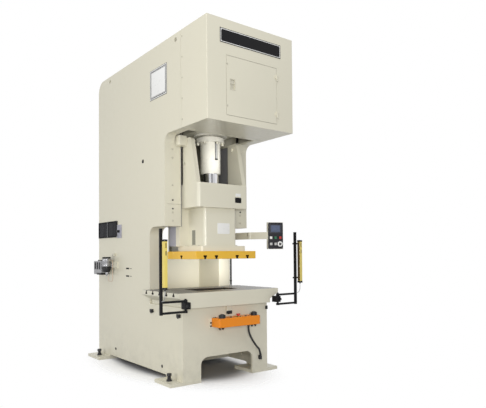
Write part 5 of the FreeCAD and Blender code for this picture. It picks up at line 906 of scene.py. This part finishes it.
def console_details():
    for x, word in PALMS:
        Piece().turned([(0, -8), (14, -8), (14, 14), (22, 15), (25, 18), (26, 26), (25.6, 34), (23, 39),
                        (17, 43), (9, 44.6), (0, 45)], (x, CONTROL_Y, CONSOLE_TOP), UP, 48).done(
            word + "_palm", BLACK_GLOSS, word + "_palm", replaced=[word + "_palm_button"])
    collars = Piece()
    for x, _ in PALMS:
        collars.turned([(27, 0), (36, 0), (36, 3), (34.5, 5), (34.5, 29), (33, 33), (31, 34), (28.5, 33),
                        (27, 30), (27, 0)], (x, CONTROL_Y, CONSOLE_TOP), UP, 48)
    collars.done("palm_collars", BLACK_PLASTIC)
    stop_place = (60, CONTROL_Y, CONSOLE_TOP)
    Piece().turned([(14.5, 0), (30, 0), (30, 3), (27, 6), (14.5, 6), (14.5, 0)], stop_place, UP, 40).done(
        "stop_base", YELLOW_PLASTIC)
    Piece().turned([(0, -8), (11, -8), (11, 16), (18, 16.5), (21.6, 19), (22.6, 24), (21.5, 30), (17, 34),
                    (10, 36), (0, 36.4)], stop_place, UP, 40).done(
        "stop_mushroom", RED_PLASTIC, "stop_key", replaced=["stop_button"])
    keys = ((-40, "start"), (160, "inch"))
    for x, word in keys:
        Piece().turned([(0, -6), (10.8, -6), (10.8, 6.2), (9.6, 7.6), (5, 7.9), (0, 8)],
                       (x, CONTROL_Y, CONSOLE_TOP)).done(
            word + "_cap", BLACK_GLOSS, word + "_key", replaced=[word + "_button"])
    lamps = ((-82, "white"), (2, "green"), (202, "red"))
    bezels = Piece()
    for x, _ in keys:
        bezels.turned([(11.4, 0), (16, 0), (16, 1.6), (14, 3.4), (11.4, 3.4), (11.4, 0)],
                      (x, CONTROL_Y, CONSOLE_TOP))
    for x, _ in lamps:
        bezels.turned([(0, 0), (14, 0), (14, 1.6), (12, 3.2), (0, 3.2)], (x, CONTROL_Y, CONSOLE_TOP))
    bezels.done("button_bezels", DARK_STEEL)
    for x, word in lamps:
        Piece().turned([(0, 0), (10.5, 0), (10.5, 5), (9, 7.2), (5, 7.9), (0, 8)],
                       (x, CONTROL_Y, CONSOLE_TOP), UP, 28).done(word + "_lamp", SMOKE)
    screws = Piece()
    for x, z in product((-204, 324), (585, 664)):
        screws.screw(4, 2.4, (x, CONSOLE_FRONT, z), FRONT)
    for x, dx in product((-190, 300), (-11, 11)):
        screws.washer_bolt(7, 6, (x + dx, 440, CONSOLE_TOP), UP)
    screws.done("console_screws", BOLT_STEEL)
    Piece().box((-211.5, 429.5, 577.5), (331.5, BED_BRACKET_Y, 671), 1.5).done("console_back", ORANGE_PAINT)
    Piece().box((-236, BED_BRACKET_Y, 556), (346, BED_FACE + 0.2, 668), 1.2).done(
        "console_mount", CREAM_PAINT)
    pair = Piece()
    for z, x in product((583, 618), (-224, 334)):
        pair.screw(9, 8, (x, BED_BRACKET_Y, z), FRONT)
    pair.done("mount_screws", BLACK_PLASTIC)
    Piece().strips(border(-206, 326, 582, 667, 2), CONSOLE_FRONT - 0.9, CONSOLE_FRONT).done(
        "console_lid_edge", ORANGE_PAINT)


HOSE_LINE = (
    (212, 370, 553), (214, 371, 500), (245, 378, 440), (292, 395, 384),
    (366, 416, 306), (424, 437, 268), (448, 452, 198),
)


def hose_details():
    """The console's cable glands, the hose and the fitting that it ends in."""
    glands = Piece()
    for x in (-172, -132, 262, 308):
        glands.gland(x, 370, 577).disc(6.4, 8, (x, 370, 545), UP, 20)
    glands.gland(212, 370, 577)
    foot = HOSE_LINE[-1][:2]
    glands.hexagon(18, 14, (*foot, 150))
    glands.turned([(0, 0), (16, 0), (16, 22), (12.5, 26), (12.5, 48), (0, 48)], (*foot, 162), UP, 28)
    glands.box((430, 452, 152), (466, BED_FACE, 196), 2)
    glands.done("cable_glands", BLACK_PLASTIC, replaced=["glands"])
    line = tube("console_hose_line", HOSE_LINE, 11, HOSE_RUBBER, "root",
                ["console_hose"], 16)


# ---- pendant ----------------------------------------------------------------------------------
PENDANT_TURN = math.radians(-25)
PENDANT_CORNER = (715, 622)
PENDANT_FRONT = (math.sin(PENDANT_TURN), -math.cos(PENDANT_TURN), 0)
KEY_COLUMNS = (40, 97, 155)
KEY_Z = 1545
LAMP_Z = 1470
SCREEN = (22, 173, 1600, 1706)
SCREEN_SIDE = 18
SCREEN_LOW = 15
SCREEN_HIGH = 11


def on_pendant(s, depth, z):
    """A point on the pendant: s to the right along its front face, depth behind that face."""
    dx = math.cos(PENDANT_TURN)
    dy = math.sin(PENDANT_TURN)
    return (PENDANT_CORNER[0] + s * dx - depth * dy, PENDANT_CORNER[1] + s * dy + depth * dx, z)


def pendant_details():
    s0, s1, z0, z1 = SCREEN
    Piece().pendant_box((s0 + SCREEN_SIDE, 0.8, z0 + SCREEN_LOW), (s1 - SCREEN_SIDE, 3, z1 - SCREEN_HIGH),
                        0.6).done("screen_glass", SCREEN_GLASS, "pendant")
    rim, rings, lamps, front = Piece(), Piece(), Piece(), Piece()
    for a, b, low, high in border(*SCREEN, SCREEN_SIDE, SCREEN_LOW, SCREEN_HIGH):
        rim.pendant_box((a, 0.2, low), (b, 3, high), 0.6)
    rim.done("screen_rim", SLATE, "pendant")
    for s, word, material in zip(KEY_COLUMNS, ("white", "green", "red"),
                                 (WHITE_PLASTIC, GREEN_PLASTIC, RED_PLASTIC)):
        key = Piece().pendant_box((s - 9, -6, KEY_Z - 9), (s + 9, 6, KEY_Z + 9), 1.5)
        key.pendant_box((s - 15, -10, KEY_Z - 15), (s + 15, -5, KEY_Z + 15), 2.2, 3)
        key.done("pendant_" + word + "_cap", material, word + "_key",
                 replaced=["pendant_" + word + "_button"])
    for s, z in (*product(KEY_COLUMNS, [KEY_Z]), *product(KEY_COLUMNS[:2], [LAMP_Z])):
        for step in (-1, 1):
            near, far = sorted((s + step * 16.4, s + step * 19.4))
            rings.pendant_box((near, -4, z - 19.4), (far, -0.6, z + 19.4), 0.6)
            near, far = sorted((z + step * 16.4, z + step * 19.4))
            rings.pendant_box((s - 16.4, -4, near), (s + 16.4, -0.6, far), 0.6)
    rings.done("key_rings", BLACK_PLASTIC, "pendant")
    for s in KEY_COLUMNS[:2]:
        lamps.pendant_box((s - 15, -12, LAMP_Z - 15), (s + 15, -5, LAMP_Z + 15), 1.6, 3)
        lamps.pendant_box((s - 13.5, -5, LAMP_Z - 13.5), (s + 13.5, -1, LAMP_Z + 13.5), 0.6)
    lamps.done("pendant_lamp_lenses", LIGHT_GREY, "pendant")
    for a, b, low, high in border(4, 191, 1411, 1729, SCREEN[0] - 4, SCREEN[2] - 1411, 1729 - SCREEN[3]):
        front.pendant_box((a, -1, low), (b, 0, high), 0.3)
    front.done("pendant_front", DARK_FACE, "pendant")
    dial_place = on_pendant(KEY_COLUMNS[2], 0, LAMP_Z)
    Piece().turned([(5.6, 1), (32, 1), (32, 1.1), (30, 2.2), (5.6, 2.2), (5.6, 1)], dial_place,
                   PENDANT_FRONT, 40).done("dial_ring", WHITE_ENAMEL, "pendant")
    dial = Piece().turned([(0, 2.3), (15, 2.3), (15, 4), (13, 10), (0, 10)], dial_place, PENDANT_FRONT, 40)
    dial.pendant_box((151.5, -17, 1460), (158.5, -9, 1480), 1.4)
    dial.done("dial_knob", BLACK_PLASTIC, "dial", replaced=["pendant_dial"])
    Piece().pendant_box((154.2, -17.3, 1468), (155.8, -16.9, 1479), FLAT).done(
        "dial_mark", WHITE_ENAMEL, "dial")
    screws = Piece()
    for s, z in product((9, 186), (1418, 1722)):
        screws.screw(4, 2.6, on_pendant(s, 0, z), PENDANT_FRONT)
    screws.done("pendant_screws", ZINC, "pendant")
    Piece().pendant_box((-0.3, 38, 1414), (195.3, 40, 1726), FLAT).done(
        "pendant_seam", BLACK_RUBBER, "pendant")


# ---- left side equipment ----------------------------------------------------------------------
PANEL_FACE = -577
LATCH_FACE = -575
FILTER = (-650, 2220)
VALVE_X = -640
AIR_LINE = ((2182, 1092), (2182, 1060), (2182, 1020), (2150, 1018), (2120, 1018), (2092, 1018),
            (2057, 1020), (2057, 1060), (2057, 1160), (2057, 1250), (2057, 1288), (2090, 1288),
            (2152, 1288))


def panel_details():
    """The dark panes in their frame, and the latch box with the switch's boss."""
    rim = Piece()
    for z in (1578, 1772):
        rim.box((PANEL_FACE, 2068, z), (-568, 2660, z + 16), 1.5)
    for y in (2068, 2356, 2644):
        rim.box((PANEL_FACE, y, 1594), (-568, y + 16, 1772), 1.5)
    rim.box((-569, 2070, 1580), (-565, 2658, 1786), 0.6)
    rim.done("side_panel_frame", DARK_PANEL, replaced=["side_panel"])
    Piece().box((LATCH_FACE, 1944, 1566), (-565, 2064, 1735), 3, 3).box(
        (PANEL_FACE, 1952, 1716), (LATCH_FACE, 2056, 1727), 0.8).done("latch_box", LAVENDER)
    panes, ribs, screws = Piece(), Piece(), Piece()
    for y in (2085, 2373):
        panes.box((-572.5, y, 1595), (-568, y + 270, 1771))
    panes.done("panel_panes", PANEL_MESH)
    Piece().box((-577.6, 2360, 1582), (-576.6, 2368, 1784), 0.4).done("panel_divider", GREY_PLASTIC)
    for y in (2126, 2150, 2214, 2236, 2282, 2406, 2430, 2500, 2518, 2574, 2610):
        ribs.box((-573.6, y, 1600), (-572, y + 2, 1766), 0.3)
    ribs.done("panel_ribs", SLATE)
    for y, z in product((2076, 2364, 2652), (1586, 1780)):
        screws.screw(4.2, 2.2, (PANEL_FACE, y, z), LEFT)
    for y, z in product((1953, 2055), (1575, 1726)):
        screws.screw(4, 1.6, (LATCH_FACE, y, z), LEFT)
    screws.done("panel_screws", ZINC)
    Piece().turned([(0, 0), (19, 0), (19, 3), (15, 5), (15, 20.5), (0, 20.5)], (LATCH_FACE, 2004, 1650.5),
                   LEFT, 40).done("switch_plate", BLACK_PLASTIC)


def filter_details():
    bowl = Piece().turned([(0, 0), (24, 2), (40, 10), (50, 24), (54, 42), (54, 80), (0, 80)],
                          (*FILTER, 1126), UP, 56)
    for x, y in around(18, 53.4, *FILTER):
        bowl.box((x - 1.8, y - 1.8, 1168), (x + 1.8, y + 1.8, 1202), 0.8)
    bowl.done("bowl_guard", BLACK_PLASTIC, replaced=["filter_bowl"])
    Piece().turned([(0, 0), (55, 0), (56.5, 3), (56.5, 30), (54, 33), (54, 40), (56.5, 43), (56.5, 94),
                    (53, 98), (0, 98)], (*FILTER, 1205.5), UP, 56).done("filter_head", SILVER)
    drain = Piece().turned([(0, 0), (7, 0), (8, 3), (8, 26), (15, 29), (15, 44), (0, 44)], (*FILTER, 1084))
    for dy in (-24, 24):
        drain.disc(5, 26, (FILTER[0], FILTER[1] + dy, 1104), UP, 20)
    drain.done("bowl_drain", SILVER)
    knob = Piece().turned([(17.2, 0), (50, 0), (53, 2), (53, 16), (49, 21), (17.2, 22), (17.2, 0)],
                          (*FILTER, 1306), UP, 56)
    for x, y in around(24, 52.6, *FILTER):
        knob.box((x - 1.4, y - 1.4, 1309), (x + 1.4, y + 1.4, 1321), 0.5, 1)
    knob.done("regulator_cap", BLACK_PLASTIC, "air_knob", replaced=["regulator_knob"])
    Piece().turned([(0, 0), (16.4, 0), (16.4, 22), (14, 24), (0, 24)], (*FILTER, 1303)).done(
        "regulator_stem", SILVER)


def valve_details():
    valves, bolts, fittings = Piece(), Piece(), Piece()
    for y in (2345, 2420, 2495):
        valves.box((-688, y - 24, 1118), (VALVE_X, y + 24, 1158), 3)
        valves.box((-687.5, y - 20, 1166), (-690, y + 20, 1258), 1.2)
        valves.turned([(0, 0), (11, 0), (11, 10), (8, 13), (0, 13)], (VALVE_X, y, 1275), UP, 28)
        valves.hexagon(9, 6, (VALVE_X, y, 1283))
    valves.box((-692, 2298, 1096), (-600, 2440, 1122), 4)
    valves.done("valve_coils", BLACK_PLASTIC)
    for y, z in product((2075, 2145, 2545), (1194, 1246)):
        bolts.screw(6, 5, (PANEL_FACE, y, z), LEFT)
    bolts.done("air_plate_bolts", BOLT_PAINT)
    fittings.hexagon(8, 12, (VALVE_X, 2148, 1288), REAR).hexagon(8, 12, (VALVE_X, 2182, 1092), DOWN)
    fittings.box((-600, 2122, 1338), (-565, 2172, 1370), 4)
    fittings.done("pipe_nuts", BOLT_PAINT)
    tube("air_line", [(VALVE_X, y, z) for y, z in AIR_LINE], 3, COPPER, "root", ["air_pipe"])


# ---- small things on the bed ------------------------------------------------------------------
SENSORS = ((1136, 719), (544, 711))
CONDUIT = (572, 1185)


def bed_details():
    sensors, ends, screws, rings = Piece(), Piece(), Piece(), Piece()
    for y, z in SENSORS:
        sensors.box((-587, y - 28, z - 18), (-565, y + 28, z + 18), 2.5, 3)
        sensors.turned([(0, 0), (9, 0), (9, 5), (7, 7), (0, 7)], (-587, y - 12, z), LEFT, 24)
        ends.turned([(0, 0), (7, 0), (7, 10), (5, 12), (0, 12)], (-576, y + 14, z - 18), DOWN, 24)
    sensors.box((541, 455, 712), (565, BED_FACE, 752), 3, 3)
    sensors.box((-12, 440, 698), (42, BED_FACE, 734), 2.5, 3)
    sensors.done("bed_sensors", BLACK_PLASTIC, replaced=["bed_fittings"])
    Piece().box((-22, 448, 732), (50, BED_FACE, 795), 2).done("stop_bracket", CREAM_PAINT)
    ends.done("sensor_glands", BLACK_PLASTIC)
    for z, x in product((762, 785), (-10, 38)):
        screws.screw(4, 3, (x, 448, z), FRONT)
    screws.done("stop_screws", ZINC)
    for index in range(58):
        rings.turned([(10.6, 0), (12.4, 0.8), (12.4, 3.6), (10.6, 4.4), (10.6, 0)],
                     (*CONDUIT, 958 + index * 10.2), UP, 20)
    rings.done("conduit_rings", BLACK_PLASTIC)
    Piece().hexagon(15, 12, (*CONDUIT, 955.2)).done("conduit_nut", ZINC)


frame_bolts()
levelling_screws()
bare_plates()
door_details()
rear_details()
drive_details()
slide_details()
for guard_side, guard_word in WORDS:
    guard_post(guard_side, guard_word)
    light_bar(guard_side, guard_word)
clamp_details()
console_details()
hose_details()
pendant_details()
panel_details()
filter_details()
valve_details()
bed_details()


# ---- floor, light and camera ------------------------------------------------------------------
AMBIENT = 0.43
FLOOR_DROP = 0.0005
FLOOR_HALF = 12
FLOOR_PALE = (0.93, 0.93, 0.925)
FLOOR_SHADED = (0.34, 0.34, 0.345)
FLOOR_BOUNCE = (0.27, 0.27, 0.265)        # what the floor gives back to the press
ROUND_PRESS = ((1.75, 1, 1), (0, -0.23, 0))
ROUND_ORIGIN = ((1, 1, 1), (0, 0, 0))


def stage_floor():
    """Pale floor with a painted shadow under the press, fading into the white surroundings."""
    s = Shader("stage_floor", (0.93, 0.93, 0.92), 0.7, specular=0.2)
    s.bump(s.noise(40.0, 3.0), 0.02, 0.0005)
    path = s.add("ShaderNodeLightPath").outputs
    seen = s.maths("MAXIMUM", path["Is Camera Ray"], path["Is Glossy Ray"])
    seen = s.maths("MAXIMUM", seen, path["Is Transmission Ray"])
    # painted shadow: the floor as seen turns dark near the press
    shade = s.mix(s.fade(ROUND_PRESS, 0.92, 1.28), FLOOR_SHADED, FLOOR_PALE)
    s.colour(s.mix(seen, FLOOR_BOUNCE, shade))
    clear = s.add("ShaderNodeBsdfTransparent")
    mixed = s.add("ShaderNodeMixShader")
    close = s.times(seen, s.fade(ROUND_PRESS, 1.0, 1.80))
    s.join(s.maths("MAXIMUM", s.fade(ROUND_ORIGIN, 2.2, 5.5), close), mixed.inputs["Fac"])
    s.join(s.main.outputs["BSDF"], mixed.inputs[1])
    s.join(clear.outputs["BSDF"], mixed.inputs[2])
    s.join(mixed.outputs["Shader"], s.tree.nodes["Material Output"].inputs["Surface"])
    mesh = bpy.data.meshes.new("stage_floor")
    corners = [(x * FLOOR_HALF, y * FLOOR_HALF, 0) for x, y in ((-1, -1), (1, -1), (1, 1), (-1, 1))]
    mesh.from_pydata(corners, [], [(0, 1, 2, 3)])
    mesh.materials.append(s.material)
    floor = bpy.data.objects.new("stage_floor", mesh)
    floor.location.z = CAD_BOX[0][2] - FLOOR_DROP
    bpy.context.scene.collection.objects.link(floor)


def surroundings():
    """White behind the press, and soft grey light from all around it."""
    world = bpy.data.worlds.new("surroundings")
    world.use_nodes = True
    tree = world.node_tree
    tree.nodes.clear()
    path, seen, light, mixed, output = [tree.nodes.new("ShaderNode" + kind) for kind in (
        "LightPath", "Background", "Background", "MixShader", "OutputWorld")]
    seen.inputs["Color"].default_value = (1, 1, 1, 1)
    light.inputs["Color"].default_value = (0.97, 0.98, 1.0, 1)
    light.inputs["Strength"].default_value = AMBIENT
    plain = path.outputs["Is Camera Ray"]
    for kind in ("Is Glossy Ray", "Is Transmission Ray"):
        either = tree.nodes.new("ShaderNodeMath")
        either.operation = "MAXIMUM"
        tree.links.new(plain, either.inputs[0])
        tree.links.new(path.outputs[kind], either.inputs[1])
        plain = either.outputs[0]
    tree.links.new(plain, mixed.inputs["Fac"])
    tree.links.new(light.outputs[0], mixed.inputs[1])
    tree.links.new(seen.outputs[0], mixed.inputs[2])
    tree.links.new(mixed.outputs[0], output.inputs["Surface"])
    bpy.context.scene.world = world


def area_light(name, place, target, size, power, colour=(1, 1, 1), spread=180):
    light = bpy.data.lights.new(name, "AREA")
    light.shape = "RECTANGLE"
    light.size, light.size_y = size
    light.energy = power
    light.spread = math.radians(spread)
    light.color = colour
    lamp = bpy.data.objects.new(name, light)
    lamp.location = place
    lamp.rotation_euler = (Vector(target) - Vector(place)).to_track_quat("-Z", "Y").to_euler()
    lamp.visible_camera = False
    bpy.context.scene.collection.objects.link(lamp)


def photo_camera():
    """The camera that the photograph was taken with, from its fitted angles."""
    level = Vector(UP)
    forward = Vector((math.sin(CAMERA_YAW), math.cos(CAMERA_YAW), 0))
    right = Vector((math.cos(CAMERA_YAW), -math.sin(CAMERA_YAW), 0))
    look = forward * math.cos(CAMERA_PITCH) + level * math.sin(CAMERA_PITCH)
    above = level * math.cos(CAMERA_PITCH) - forward * math.sin(CAMERA_PITCH)
    across = right * math.cos(CAMERA_ROLL) + above * math.sin(CAMERA_ROLL)
    upward = above * math.cos(CAMERA_ROLL) - right * math.sin(CAMERA_ROLL)
    data = bpy.data.cameras.new("camera")
    data.lens = CAMERA_LENS
    data.sensor_width = CAMERA_SENSOR
    data.shift_y = CAMERA_SHIFT
    camera = bpy.data.objects.new("camera", data)
    turn = Matrix((across, upward, -look)).transposed().to_4x4()
    camera.matrix_world = Matrix.Translation(CAMERA_PLACE) @ turn
    bpy.context.scene.collection.objects.link(camera)
    bpy.context.scene.camera = camera


stage_floor()
surroundings()
area_light("front_light", (-3.6, -6.2, 1.6), (0, -0.4, 1.7), (2.2, 1.6), 205, (1.0, 0.99, 0.97))
area_light("key_light", (-5.5, -4.5, 5.5), (0, -0.2, 2.4), (3.0, 3.0), 88)
area_light("side_light", (-6.5, 0.5, 1.1), (0, 0.3, 0.9), (3.0, 2.0), 97)
area_light("top_light", (0, -1.0, 7.5), (0, -0.2, 0), (5.0, 5.0), 230)
area_light("throat_light", (0.06, -0.78, 1.16), (0.30, 0.1, 1.34), (0.34, 0.16), 1.9, spread=80)
area_light("guide_light", (-0.05, -1.30, 2.20), (0, -0.55, 2.46), (0.3, 0.2), 0.30, spread=45)
photo_camera()
bpy.context.scene.view_settings.view_transform = "Standard"
